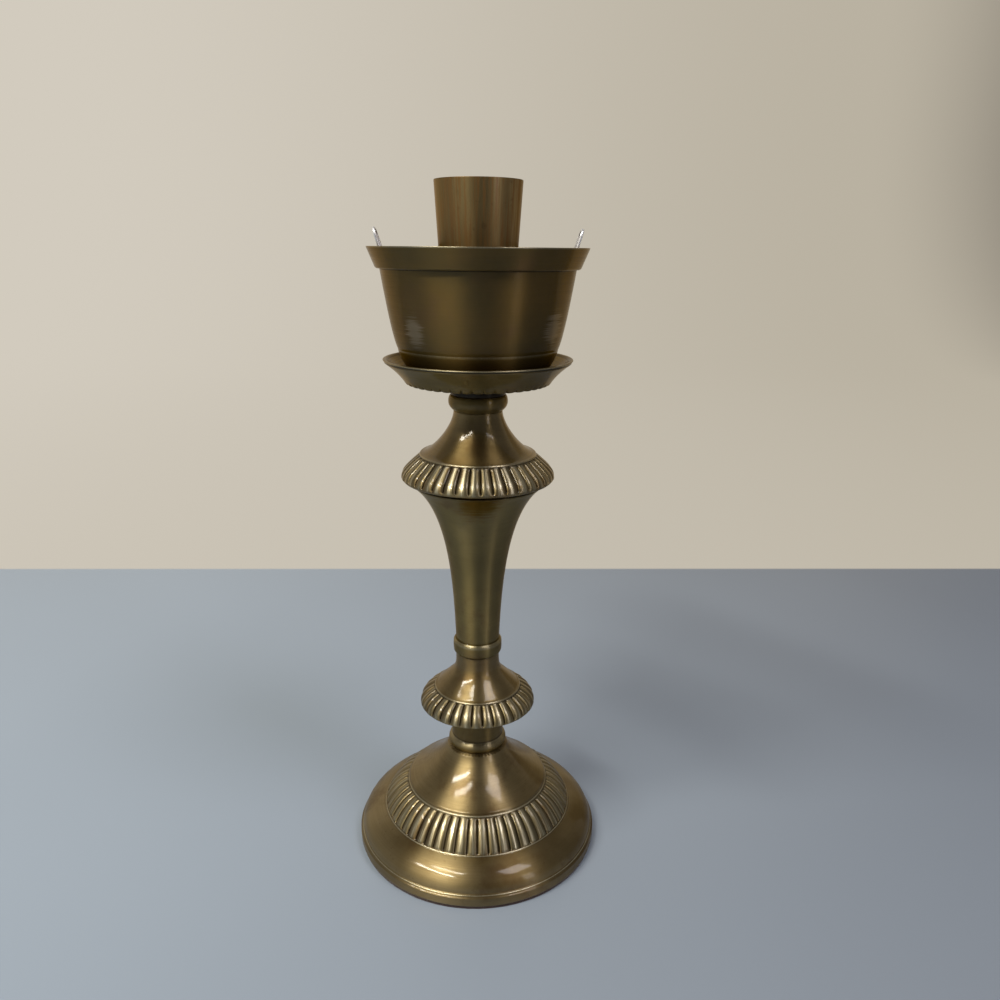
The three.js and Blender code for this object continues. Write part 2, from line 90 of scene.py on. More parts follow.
LOWER_KNOP = {
    "radius": 19.4, "edge_inset": 0.7, "edge_height": 0.5, "band_width": 4.8, "band_height": 5.6,
    "lip": 0.6, "bell_height": 12.3, "neck_radius": 7.2, "recess_radius": 14.8, "recess_depth": 2.0,
    "ribs": 32, "rib_depth": 0.9,
    "band_curve": ((0, 0.47), (0.48, 0.74)), "bell_curve": ((1, 0.54), (1, 0.44)),
}
UPPER_KNOP = {
    "radius": 24.1, "edge_inset": 0.5, "edge_height": 0.7, "band_width": 5.7, "band_height": 7.0,
    "lip": 0.6, "bell_height": 13.3, "neck_radius": 7.6, "recess_radius": 18.7, "recess_depth": 0.9,
    "ribs": 39, "rib_depth": 0.9,
    "band_curve": ((0, 0.34), (0.35, 0.52)), "bell_curve": ((0.36, 0.05), (1, 0.65)),
}

STEM_RING_RADIUS = 8.1
STEM_RING_INSET = 0.6
STEM_RING_HEIGHT = 4.9
STEM_FOOT_RADIUS = 7.2
STEM_TOP_RADIUS = 20.7
STEM_HEIGHT = 54.0
STEM_TOP_EDGE = 0.4
STEM_SPIGOT_INSET = 2.3
STEM_SPIGOT_HEIGHT = 2.2
STEM_CURVE = ((0.06, 0.33), (0.14, 0.82))

BEAD_FOOT_RADIUS = 7.6
BEAD_RADIUS = 9.2
BEAD_TOP_RADIUS = 8.5
BEAD_LOWER = 2.9
BEAD_UPPER = 2.0
BEAD_LOWER_CURVE = ((0.5, 0.25), (1, 0.5))
BEAD_UPPER_CURVE = ((0, 0.5), (0.4, 0.9))

SAUCER_BOSS_RADIUS = 8.5
SAUCER_BOSS_HEIGHT = 3.6
SAUCER_RIM_RADIUS = 28.8
SAUCER_FLANGE_WIDTH = 4.4
SAUCER_FLANGE_HEIGHT = 4.2
SAUCER_FOOT_WIDTH = 2.2
SAUCER_KNEE_HEIGHT = 3.2
SAUCER_FLOOR = 2.3
SAUCER_WALL = 1.1
SAUCER_CURVE = ((0.22, 0.36), (0.6, 0.72))
SAUCER_NICKS = 44
SAUCER_NICK_DEPTH = 0.4
SAUCER_NICK_FADE = 4

CUP_FOOT_RADIUS = 18.8
CUP_WAIST_RADIUS = 24.2
CUP_WAIST_HEIGHT = 8.4
CUP_MOUTH_RADIUS = 28.9
CUP_WALL_HEIGHT = 22.8
CUP_LEDGE_WIDTH = 1.3
CUP_LIP_FLARE = 2.4
CUP_LIP_HEIGHT = 6.1
CUP_WALL = 1.0
CUP_FLOOR = 1.0
CUP_FOOT_CURVE = ((0.41, 0.155), (0.89, 0.595))
CUP_WALL_CURVE = ((0.31, 0.15), (0.68, 0.59))
CUP_INSIDE_WALL_CURVE = ((0.32, 0.41), (0.69, 0.85))
CUP_INSIDE_FOOT_CURVE = ((0.11, 0.405), (0.59, 0.845))

WIRE_RADIUS = 0.45
WIRE_SPREAD = 3.75
ARM_FOOT_RADIUS = 17.2
ARM_TIP_WIDTH = 4.0
ARM_CLEARANCE = 0.3

TUBE_MOUTH_RADIUS = 12.85
TUBE_FOOT_RADIUS = 9.55
TUBE_WALL = 1.0
TUBE_FLOOR = 1.2
TUBE_HOLE_RADIUS = 6.97
STRAIGHT = ((0.333, 0.333), (0.667, 0.667))

FELT_HOLE_RADIUS = 14.0
FELT_ROUNDING = 0.12
FELT_FRAY = 0.12
FELT_FRAY_REACH = 1.0
FELT_FRAY_SCALE = 0.9

NUT_ACROSS = 10.0
NUT_CORNER = 1.145
NUT_CHAMFER = math.tan(math.radians(30))
NUT_FACE_INSET = 0.15
NUT_EDGE = 0.06
NUT_BORE_CHAMFER = 0.35
ROD_RADIUS = 3.0
ROD_CHAMFER = 0.5
THREAD_PITCH = 1.25
THREAD_DEPTH = 0.35
THREAD_LENGTH = 9.0
THREAD_GRIME = 0.8
LOCK_WASHER_GAP = math.radians(14)
LOCK_WASHER_EDGE = 0.1

# How finely the meshes are cut, and the largest share of an edge that a rounding takes
PLAIN_STEPS = 192
STEPS_PER_RIB = 14
STEPS_PER_THREAD = 10
ROD_STEPS = 48
LOCK_WASHER_STEPS = 96
BEND_STEPS = 24
WIRE_ROUNDNESS = 5
CURVE_STEPS = 28
BEAD_STEPS = 8
TORUS_STEPS = 24
ROUNDING_STEPS = 4
ROUNDING_SHARE = 0.45

# A rib's section, 2 for a plain ellipse, and how uneven the ribs are, in shares of a rib
RIB_OVAL = 2.3
RIB_JITTER = 0.07
RIB_LEAN = 0.2
RIB_FULLNESS = (0.8, 1.1)
RIB_FADE_START = 0.3

# Grime with painted shade, and wear with painted highlight: how far they reach past a point, and
# where they lie across a rib
FINISH_REACH = 0.3
FULL_FINISH_DEPTH = 0.5
RIB_GRIME_AND_SHADE = 0.7
BAND_END_GRIME_AND_SHADE = 0.3
RIB_GRIME_AND_SHADE_RANGE = (0.76, 1.0)
RIB_RUBBED_AND_HIGHLIT = 0.52


def flow(start, end, handles, steps=CURVE_STEPS):
    """A smooth run between two (radius, height) points, with handles in shares of its span."""
    spans = (end[0] - start[0], end[1] - start[1])
    first, second = (
        (start[0] + across * spans[0], start[1] + up * spans[1]) for across, up in handles
    )
    points = []
    for step in range(steps + 1):
        share = step / steps
        rest = 1 - share
        weights = (rest**3, 3 * rest**2 * share, 3 * rest * share**2, share**3)
        points.append(
            tuple(
                sum(w * p[axis] for w, p in zip(weights, (start, first, second, end)))
                for axis in (0, 1)
            )
        )
    return points


def upright(radius, low, high, steps):
    """A straight run up a cylinder, cut into steps so that its finish lies evenly on it."""
    return [(radius, low + (high - low) * step / steps) for step in range(steps + 1)]


Point = namedtuple("Point", "radius height rounding ribs grime wear")


class Outline:
    """A closed outline that runs up the outside of a turned piece and down its inside.

    Each point has a radius, a height, how much it is rounded, how deep its ribs are, how much grime
    and painted shade darken it, and how much wear and painted highlight brighten its edge."""

    def __init__(self):
        self.points = []

    def to(self, radius, height, rounding=0.0, grime=0.0, wear=0.0, ribs=0.0):
        self.points.append(Point(radius, height, rounding, ribs, grime, wear))
        return self

    def follow(self, run, grime=0.0):
        for radius, height in run:
            self.to(radius, height, grime=grime)
        return self

    def band(self, run, depth, fade=0):
        """A ribbed run. Where the ribs are cut off below, they fade out over the first points."""
        last = len(run) - 1
        for step, (radius, height) in enumerate(run):
            closed = step == last or (step == 0 and not fade)
            grime = BAND_END_GRIME_AND_SHADE if closed else 0.0
            share = min(1.0, (step + RIB_FADE_START) / fade) if fade else 1.0
            self.to(radius, height, grime=grime, ribs=depth * share)
        return self

    def bead(self, radius, height, bulge, wear):
        """A round moulding from the last point to this one, standing proud by its bulge."""
        from_radius, from_height = self.points[-1][:2]
        across, up = radius - from_radius, height - from_height
        length = math.hypot(across, up)
        outward = (up / length, -across / length)
        for step in range(1, BEAD_STEPS + 1):
            angle = math.pi * step / BEAD_STEPS
            share = (1 - math.cos(angle)) / 2
            proud = bulge * math.sin(angle)
            self.to(
                from_radius + across * share + outward[0] * proud,
                from_height + up * share + outward[1] * proud,
                wear=wear * math.sin(angle),
            )
        return self

    def torus(self, radius, height, thickness, low, high, wear):
        """Part of a round ring's section, between two angles from the level in degrees."""
        for step in range(TORUS_STEPS + 1):
            angle = math.radians(low + (high - low) * step / TORUS_STEPS)
            across, up = thickness * math.cos(angle), thickness * math.sin(angle)
            self.to(radius + across, height + up, wear=wear * max(0.0, math.sin(angle)))
        return self

    def drawn(self):
        """The points with each rounded corner drawn as a short curve, and its finish kept close."""
        result = []
        count = len(self.points)
        for index, point in enumerate(self.points):
            if point.rounding == 0:
                result.append(point)
                continue
            here = Vector(point[:2])
            ends = []
            for other in (self.points[index - 1], self.points[(index + 1) % count]):
                away = Vector(other[:2]) - here
                reach = min(point.rounding, away.length * ROUNDING_SHARE)
                ends.append(here + away.normalized() * reach)
            for step in range(ROUNDING_STEPS + 1):
                share = step / ROUNDING_STEPS
                place = (
                    ends[0] * (1 - share) ** 2
                    + here * 2 * share * (1 - share)
                    + ends[1] * share**2
                )
                result.append(point._replace(radius=place.x, height=place.y))
        return fenced(result)


def fenced(points):
    """Adds clean points on the long runs of an outline, so that grime, painted shade, wear and
    painted highlight don't spread.
    """
    result = []
    for index, point in enumerate(points):
        result.append(point)
        ahead = points[(index + 1) % len(points)]
        start, span = Vector(point[:2]), Vector(ahead[:2]) - Vector(point[:2])
        if span.length < 3 * FINISH_REACH:
            continue
        near = FINISH_REACH / span.length
        for end, share in ((point, near), (ahead, 1 - near)):
            if end.grime or end.wear:
                place = start + span * share
                ribs = point.ribs + (ahead.ribs - point.ribs) * share
                result.append(Point(place.x, place.y, 0.0, ribs, 0.0, 0.0))
    return result


def placed(name, data):
    """A new object in the scene."""
    made = bpy.data.objects.new(name, data)
    bpy.context.scene.collection.objects.link(made)
    return made


def skin(name, rings, grime=None, wear=None, closed=True):
    """A smooth mesh over rings that have as many points each. A ring of one point is a pole."""
    vertices = []
    starts = []
    for ring in rings:
        starts.append(len(vertices))
        vertices.extend(Vector(point) * MM for point in ring)
    faces = []
    rows = len(rings) if closed else len(rings) - 1
    for row in range(rows):
        upper_row = (row + 1) % len(rings)
        low, high = rings[row], rings[upper_row]
        for step in range(max(len(low), len(high))):
            corners = [
                starts[row] + step % len(low),
                starts[row] + (step + 1) % len(low),
                starts[upper_row] + (step + 1) % len(high),
                starts[upper_row] + step % len(high),
            ]
            faces.append(list(dict.fromkeys(corners)))
    mesh = bpy.data.meshes.new(name)
    mesh.from_pydata(vertices, [], faces)
    mesh.shade_smooth()
    for title, values in (("grime", grime), ("wear", wear)):
        layer = mesh.attributes.new(title, "FLOAT", "POINT")
        layer.data.foreach_set("value", values or [0.0] * len(vertices))
    return placed(name, mesh)


def dress(piece, body, finish, node):
    """Gives a piece its body and its finish, and hides the CAD node that it stands for."""
    piece.data.materials.append(finish)
    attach(piece, body)
    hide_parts(node)
    if piece.type == "MESH":
        weighted = piece.modifiers.new("weighted", "WEIGHTED_NORMAL")
        weighted.keep_sharp = True
    return piece


def rib_section(count, seed):
    """(angle, sink, edge) round a ribbed piece. Each rib is half an oval, a little uneven by hand.

    The edge is 0 on a rib's crest and 1 in the valley beside it."""
    chance = random.Random(seed)
    valleys = [rib - 0.5 + chance.uniform(-RIB_JITTER, RIB_JITTER) for rib in range(count)]
    valleys.append(valleys[0] + count)
    section = []
    for rib in range(count):
        lean = chance.uniform(-RIB_LEAN, RIB_LEAN)
        fullness = chance.uniform(*RIB_FULLNESS)
        for step in range(STEPS_PER_RIB):
            across = math.sin(math.pi * (step / STEPS_PER_RIB - 0.5))
            skewed = min(1.0, abs(across + lean * (1 - across**2)))
            sink = (1 - (1 - skewed**RIB_OVAL) ** (1 / RIB_OVAL)) * fullness
            share = (across + 1) / 2
            place = valleys[rib] + (valleys[rib + 1] - valleys[rib]) * share
            section.append((place * TURN / count, min(sink, 1.0), skewed))
    return section


def between(value, low, high):
    """0 below the low end, 1 above the high one and a smooth step between them."""
    share = min(1.0, max(0.0, (value - low) / (high - low)))
    return share * share * (3 - 2 * share)


def turned(
    name,
    outline,
    seat,
    ribs=0,
    seed=0,
    settled_grime_and_shade=RIB_GRIME_AND_SHADE_RANGE,
    rubbed_and_highlit=RIB_RUBBED_AND_HIGHLIT,
    rib_brass=None,
):
    """A piece turned about Z from its outline, standing at its seat, with ribs where it has any.

    From a rib's crest at 0 to its valley at 1, wear and painted highlight fade out up to the rubbed
    share, and grime with painted shade builds up over the settled range."""
    points = outline.drawn()
    section = [(TURN * step / PLAIN_STEPS, 0.0, 0.0) for step in range(PLAIN_STEPS)]
    if ribs:
        section = rib_section(ribs, seed)
    rings = []
    grime = []
    wear = []
    for index, point in enumerate(points):
        ahead, behind = points[(index + 1) % len(points)], points[index - 1]
        along = Vector((ahead.radius - behind.radius, ahead.height - behind.height)).normalized()
        ring = []
        share = min(1.0, point.ribs / FULL_FINISH_DEPTH)
        for angle, sink, edge in section:
            moved = point.radius - along.y * sink * point.ribs
            ring.append(
                (
                    moved * math.cos(angle),
                    moved * math.sin(angle),
                    seat + point.height + along.x * sink * point.ribs,
                )
            )
            grime.append(max(point.grime, RIB_GRIME_AND_SHADE * share * between(edge, *settled_grime_and_shade)))
            wear.append(max(point.wear, share * (1 - between(edge, 0.0, rubbed_and_highlit))))
        rings.append(ring)
    piece = skin(name, rings, grime, wear)
    if ribs:
        piece.data.materials.append(rib_brass or RIB_BRASS)
        for face in piece.data.polygons:
            row = face.index // len(section)
            face.material_index = int(points[row].ribs == 0)
    return piece


def seat_of(node):
    """The level on which a node stands, in millimetres."""
    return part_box(node)[0].z / MM


def top_of(node):
    """The level of a node's top, in millimetres."""
    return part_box(node)[1].z / MM


def height_of(node):
    return top_of(node) - seat_of(node)


# Materials
class Nodes:
    """A node tree written as calls. Inputs are numbers, colours or other nodes' outputs."""

    def __init__(self, tree):
        self.tree = tree
        self.tree.nodes.clear()

    def node(self, kind, inputs=(), output=0, **settings):
        made = self.tree.nodes.new("ShaderNode" + kind)
        for setting, value in settings.items():
            setattr(made, setting, value)
        for socket, value in dict(inputs).items():
            if isinstance(value, bpy.types.NodeSocket):
                self.tree.links.new(value, made.inputs[socket])
            else:
                made.inputs[socket].default_value = value
        return made.outputs[output]

    def math(self, operation, first, second=0.0):
        return self.node("Math", {0: first, 1: second}, operation=operation)

    def mix(self, share, first, second):
        """A mix of two colours, whose sockets are 6 and 7."""
        return self.node("Mix", {0: share, 6: first, 7: second}, output=2, data_type="RGBA")

    def ramp(self, value, low, high, to_low=0.0, to_high=1.0):
        inputs = {0: value, 1: low, 2: high, 3: to_low, 4: to_high}
        return self.node("MapRange", inputs, interpolation_type="SMOOTHSTEP")

    def noise(self, place, scale, detail=3.0, roughness=0.55):
        inputs = {"Vector": place, "Scale": scale, "Detail": detail, "Roughness": roughness}
        return self.node("TexNoise", inputs)

    def layer(self, title):
        return self.node("Attribute", attribute_name=title, output=2)

    def place(self):
        return self.node("TexCoord", output=3)

    def parts(self, vector):
        apart = self.tree.nodes.new("ShaderNodeSeparateXYZ")
        self.tree.links.new(vector, apart.inputs[0])
        return apart.outputs

    def round_about(self, radial, upright, around):
        """A place given as distance from the axis, height and angle round it, each scaled."""
        x, y, z = self.parts(self.place())
        flat = self.node("CombineXYZ", {0: x, 1: y, 2: 0.0})
        radius = self.node("VectorMath", {0: flat}, output=1, operation="LENGTH")
        angle = self.math("ARCTAN2", y, x)
        return self.node(
            "CombineXYZ",
            {
                0: self.math("MULTIPLY", radius, radial),
                1: self.math("MULTIPLY", z, upright),
                2: self.math("MULTIPLY", angle, around),
            },
        )

    def grain(self, scales, detail, roughness=0.55):
        """Noise drawn out along the radius, the height or the angle, as its three scales say."""
        return self.noise(self.round_about(*scales), 1.0, detail, roughness)

    def bump(self, height, relief, depth):
        return self.node("Bump", {"Strength": relief, "Distance": depth, "Height": height})

    def close(self, kind, shader):
        output = self.tree.nodes.new("ShaderNodeOutput" + kind)
        self.tree.links.new(shader, output.inputs[0])


def material(name):
    made = bpy.data.materials.new(name)
    made.use_nodes = True
    return made, Nodes(made.node_tree)


def colour(red, green, blue):
    return (red, green, blue, 1.0)


GOLD = colour(0.29, 0.22, 0.105)
OLIVE = colour(0.18, 0.126, 0.048)
BROWN = colour(0.13, 0.076, 0.028)
RUBBED_AND_HIGHLIGHT = colour(0.74, 0.68, 0.48)
GRIME_AND_SHADE = colour(0.022, 0.012, 0.005)
GRAZING = colour(0.72, 0.56, 0.35)
PAINTED_REFLECTION_TONE = colour(0.4, 0.33, 0.24)
PAINTED_SHADE_TONE = colour(0.15, 0.085, 0.012)
TUBE_GOLD = colour(0.37, 0.26, 0.112)
TUBE_OLIVE = colour(0.23, 0.162, 0.068)
TUBE_STREAK = colour(0.27, 0.14, 0.046)
STEEL_GREY = colour(0.46, 0.46, 0.47)
WIRE_BRIGHT = colour(0.95, 0.95, 0.98)
FELT_DARK = colour(0.018, 0.008, 0.007)
FELT_LIGHT = colour(0.085, 0.035, 0.03)
FELT_CLUMP = colour(0.03, 0.013, 0.012)

# Scales of the grain along the radius, the height and the angle
TURNING_LINES = (2600.0, 2600.0, 1.3)
RIB_LINES = (60.0, 60.0, 420.0)
RIB_STREAKS = (60.0, 60.0, 75.0)
TUBE_LINES = (2400.0, 2400.0, 1.3)
TUBE_STREAKS = (30.0, 9.0, 2.6)
TUBE_SCRATCHES = (30.0, 60.0, 20.0)
STEEL_LINES = (3000.0, 3000.0, 2.0)

# Single painted marks of light and shade: a place and three reaches in metres, a colour and a
# strength
# Two pale patches on the cup's lower front: painted reflections of a window.
LEFT_PAINTED_REFLECTION = ((-0.0182, -0.0190, 0.1765), (0.0036, 0.0036, 0.0046), PAINTED_REFLECTION_TONE, 0.42)
RIGHT_PAINTED_REFLECTION = ((0.0216, -0.0150, 0.1775), (0.0046, 0.0046, 0.0046), PAINTED_REFLECTION_TONE, 0.42)
# A dark patch at the top front of the stem: painted shade under the upper knop.
STEM_PAINTED_SHADE = ((0.0, -0.0180, 0.1285), (0.0072, 0.0100, 0.0085), PAINTED_SHADE_TONE, 1.0)


def aged_brass(name, gold=GOLD, olive=OLIVE, roughness=0.43, lacquer=0.55, along=False, marks=()):
    """Lacquered brass with fine lines, olive patches, worn crests with a painted highlight, and
    grime with painted shade in its creases.

    The fine lines run round a plain piece, and along the ribs of a ribbed one."""
    made, nodes = material(name)
    place = nodes.place()
    clouds = nodes.noise(place, scale=34.0, detail=4.0)
    stains = nodes.noise(place, scale=75.0, detail=5.0, roughness=0.65)
    specks = nodes.noise(place, scale=520.0, detail=2.0)
    lines = nodes.grain(RIB_LINES if along else TURNING_LINES, detail=2.0, roughness=0.7)
    streaks = nodes.grain(RIB_STREAKS, detail=3.0, roughness=0.7)
    settled_grime_and_shade = nodes.layer("grime")
    worn_and_highlit = nodes.layer("wear")
    body = nodes.mix(nodes.ramp(clouds, 0.38, 0.66), gold, olive)
    body = nodes.mix(nodes.ramp(stains, 0.5, 0.72, 0.0, 0.7), body, BROWN)
    body = nodes.mix(nodes.ramp(specks, 0.64, 0.76, 0.0, 0.35), body, BROWN)
    body = nodes.mix(nodes.ramp(lines, 0.3, 0.7, 0.0, 0.18), body, olive)
    _, deep, _ = nodes.parts(place)
    least_rubbed_and_highlit = 0.1 if along else 0.55
    rubbed_and_highlit = nodes.math("MULTIPLY", worn_and_highlit, nodes.ramp(streaks, 0.4, 0.6, least_rubbed_and_highlit, 0.8))
    # The front half, facing the lamps and the camera, gets its crests brightened more than the
    # back: painted light.
    rubbed_and_highlit = nodes.math("MULTIPLY", rubbed_and_highlit, nodes.ramp(deep, -0.03, 0.01, 1.0, 0.35))
    # Worn crests and beads are brightened, partly as a painted highlight.
    body = nodes.mix(rubbed_and_highlit, body, RUBBED_AND_HIGHLIGHT)
    # Painted reflections and painted shade, each at its given place.
    for where, reach, tone, strength in marks:
        away = nodes.node("VectorMath", {0: place, 1: where}, operation="SUBTRACT")
        away = nodes.node("VectorMath", {0: away, 1: reach}, operation="DIVIDE")
        away = nodes.node("VectorMath", {0: away}, output=1, operation="LENGTH")
        ragged = nodes.math("ADD", away, nodes.ramp(lines, 0.2, 0.8, -0.45, 0.45))
        body = nodes.mix(nodes.ramp(ragged, 0.5, 1.15, strength, 0.0), body, tone)
    # Grime in creases, and painted shade under the knops and the saucer, darken the colour.
    body = nodes.mix(nodes.ramp(settled_grime_and_shade, 0.1, 0.9, 0.0, 0.9), body, GRIME_AND_SHADE)
    rough = nodes.ramp(lines, 0.25, 0.75, roughness - 0.03, roughness + 0.05)
    rough = nodes.math("ADD", rough, nodes.ramp(clouds, 0.35, 0.7, -0.02, 0.05))
    rough = nodes.math("ADD", rough, nodes.ramp(settled_grime_and_shade, 0.2, 1.0, 0.0, 0.25))
    rough = nodes.math("SUBTRACT", rough, nodes.ramp(worn_and_highlit, 0.0, 1.0, 0.0, 0.06))
    peel = nodes.noise(place, scale=210.0, detail=1.0)
    shader = nodes.node(
        "BsdfPrincipled",
        {
            "Base Color": body,
            "Metallic": 1.0,
            "Roughness": rough,
            "Specular Tint": GRAZING,
            "Anisotropic": 0.75 if along else 0.9,
            "Anisotropic Rotation": 0.25,
            "Tangent": nodes.node("Tangent", direction_type="RADIAL", axis="Z"),
            "Normal": nodes.bump(lines, relief=0.1, depth=0.00004),
            "Coat Weight": lacquer,
            "Coat Roughness": 0.1,
            "Coat IOR": 1.5,
            "Coat Normal": nodes.bump(peel, relief=0.12, depth=0.0004),
        },
    )
    nodes.close("Material", shader)
    return made


def streaked_brass(name):
    """The candle tube's brass: satin, with upright reddish and olive streaks."""
    made, nodes = material(name)
    place = nodes.place()
    streaks = nodes.grain(TUBE_STREAKS, detail=4.0)
    scratches = nodes.grain(TUBE_SCRATCHES, detail=3.0)
    lines = nodes.grain(TUBE_LINES, detail=2.0)
    specks = nodes.noise(place, scale=320.0)
    settled_grime_and_shade = nodes.layer("grime")
    body = nodes.mix(nodes.ramp(streaks, 0.4, 0.62), TUBE_GOLD, TUBE_OLIVE)
    body = nodes.mix(nodes.ramp(scratches, 0.4, 0.62, 0.0, 0.75), body, TUBE_STREAK)
    body = nodes.mix(nodes.ramp(specks, 0.6, 0.74, 0.0, 0.4), body, BROWN)
    body = nodes.mix(nodes.ramp(settled_grime_and_shade, 0.2, 0.95, 0.0, 0.9), body, GRIME_AND_SHADE)
    rough = nodes.ramp(scratches, 0.3, 0.7, 0.42, 0.52)
    shader = nodes.node(
        "BsdfPrincipled",
        {
            "Base Color": body,
            "Metallic": 1.0,
            "Roughness": rough,
            "Specular Tint": GRAZING,
            "Anisotropic": 0.3,
            "Anisotropic Rotation": 0.25,
            "Tangent": nodes.node("Tangent", direction_type="RADIAL", axis="Z"),
            "Normal": nodes.bump(lines, relief=0.1, depth=0.00004),
            "Coat Weight": 0.25,
            "Coat Roughness": 0.12,
        },
    )
    nodes.close("Material", shader)
    return made


def steel(name, tone, roughness, mottled=0.6):
    """Plated steel with a faint mottle, and grime in its creases."""
    made, nodes = material(name)
    mottle = nodes.noise(nodes.place(), scale=500.0, detail=3.0)
    lines = nodes.grain(STEEL_LINES, detail=3.0)
    dark = colour(*(part * 0.55 for part in tone[:3]))
    body = nodes.mix(nodes.ramp(mottle, 0.4, 0.75, 0.0, mottled), tone, dark)
    body = nodes.mix(nodes.ramp(nodes.layer("grime"), 0.2, 1.0, 0.0, 0.8), body, GRIME_AND_SHADE)
    shader = nodes.node(
        "BsdfPrincipled",
        {
            "Base Color": body,
            "Metallic": 1.0,
            "Roughness": nodes.ramp(mottle, 0.3, 0.7, roughness, roughness + 0.2 * mottled),
            "Normal": nodes.bump(lines, relief=0.13 * mottled, depth=0.00003),
        },
    )
    nodes.close("Material", shader)
    return made


def felt_cloth(name):
    """Dense dark felt: matted fibres that run every way."""
    made, nodes = material(name)
    place = nodes.place()
    fibres = nodes.noise(place, scale=5200.0, detail=6.0, roughness=0.75)
    clumps = nodes.noise(place, scale=900.0, detail=3.0)
    body = nodes.mix(fibres, FELT_DARK, FELT_LIGHT)
    body = nodes.mix(nodes.ramp(clumps, 0.4, 0.7, 0.0, 0.5), body, FELT_CLUMP)
    shader = nodes.node(
        "BsdfPrincipled",
        {
            "Base Color": body,
            "Roughness": nodes.ramp(clumps, 0.3, 0.7, 0.88, 1.0),
            "Normal": nodes.bump(nodes.math("ADD", fibres, clumps), relief=0.8, depth=0.0002),
            "Sheen Weight": 0.35,
            "Sheen Roughness": 0.5,
        },
    )
    nodes.close("Material", shader)
    return made


BRASS = aged_brass("aged_brass")
# Darker copies of the same brass, as painted shade: the cup, the saucer with the collar and neck
# bead, and the stem with its ring.
CUP_BRASS_SHADED = aged_brass(
    "aged_brass_cup_shaded",
    gold=colour(0.15, 0.092, 0.024),
    olive=colour(0.105, 0.072, 0.022),
    lacquer=0.3,
    marks=(LEFT_PAINTED_REFLECTION, RIGHT_PAINTED_REFLECTION),
)
SAUCER_BRASS_SHADED = aged_brass(
    "aged_brass_saucer_shaded",
    gold=colour(0.21, 0.145, 0.046),
    olive=colour(0.135, 0.097, 0.034),
    lacquer=0.35,
)
STEM_BRASS_SHADED = aged_brass(
    "aged_brass_stem_shaded",
    gold=colour(0.23, 0.175, 0.066),
    olive=colour(0.155, 0.122, 0.047),
    lacquer=0.35,
    marks=(STEM_PAINTED_SHADE,),
)
RIB_BRASS = aged_brass(
    "aged_brass_ribs",
    gold=colour(0.26, 0.205, 0.1),
    olive=colour(0.13, 0.105, 0.055),
    roughness=0.42,
    along=True,
)
WASHER_BRASS = aged_brass("washer_brass", roughness=0.45, lacquer=0.1)
TUBE_BRASS = streaked_brass("tube_brass")
STEEL = steel("plain_steel", STEEL_GREY, roughness=0.34)
SPRING = steel("spring_wire", WIRE_BRIGHT, roughness=0.45, mottled=0.02)
FELT = felt_cloth("felt")


# The stand, from the table up
def felt_pad():
    seat, thickness = seat_of("felt_pad"), height_of("felt_pad")
    radius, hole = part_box("felt_pad")[1].x / MM, FELT_HOLE_RADIUS
    outline = Outline()
    for edge, height in ((radius, 0), (radius, thickness), (hole, thickness), (hole, 0)):
        outline.to(edge, height, rounding=FELT_ROUNDING)
    piece = turned("felt_pad_cloth", outline, seat)
    for vertex in piece.data.vertices:
        reach = Vector((vertex.co.x, vertex.co.y)).length / MM
        if reach > radius - FELT_FRAY_REACH:
            share = 0.5 + 0.5 * noise.noise(vertex.co / MM * FELT_FRAY_SCALE)
            pulled = 1 - FELT_FRAY * share / reach
            vertex.co.x *= pulled
            vertex.co.y *= pulled
    return dress(piece, "stand", FELT, "felt_pad")


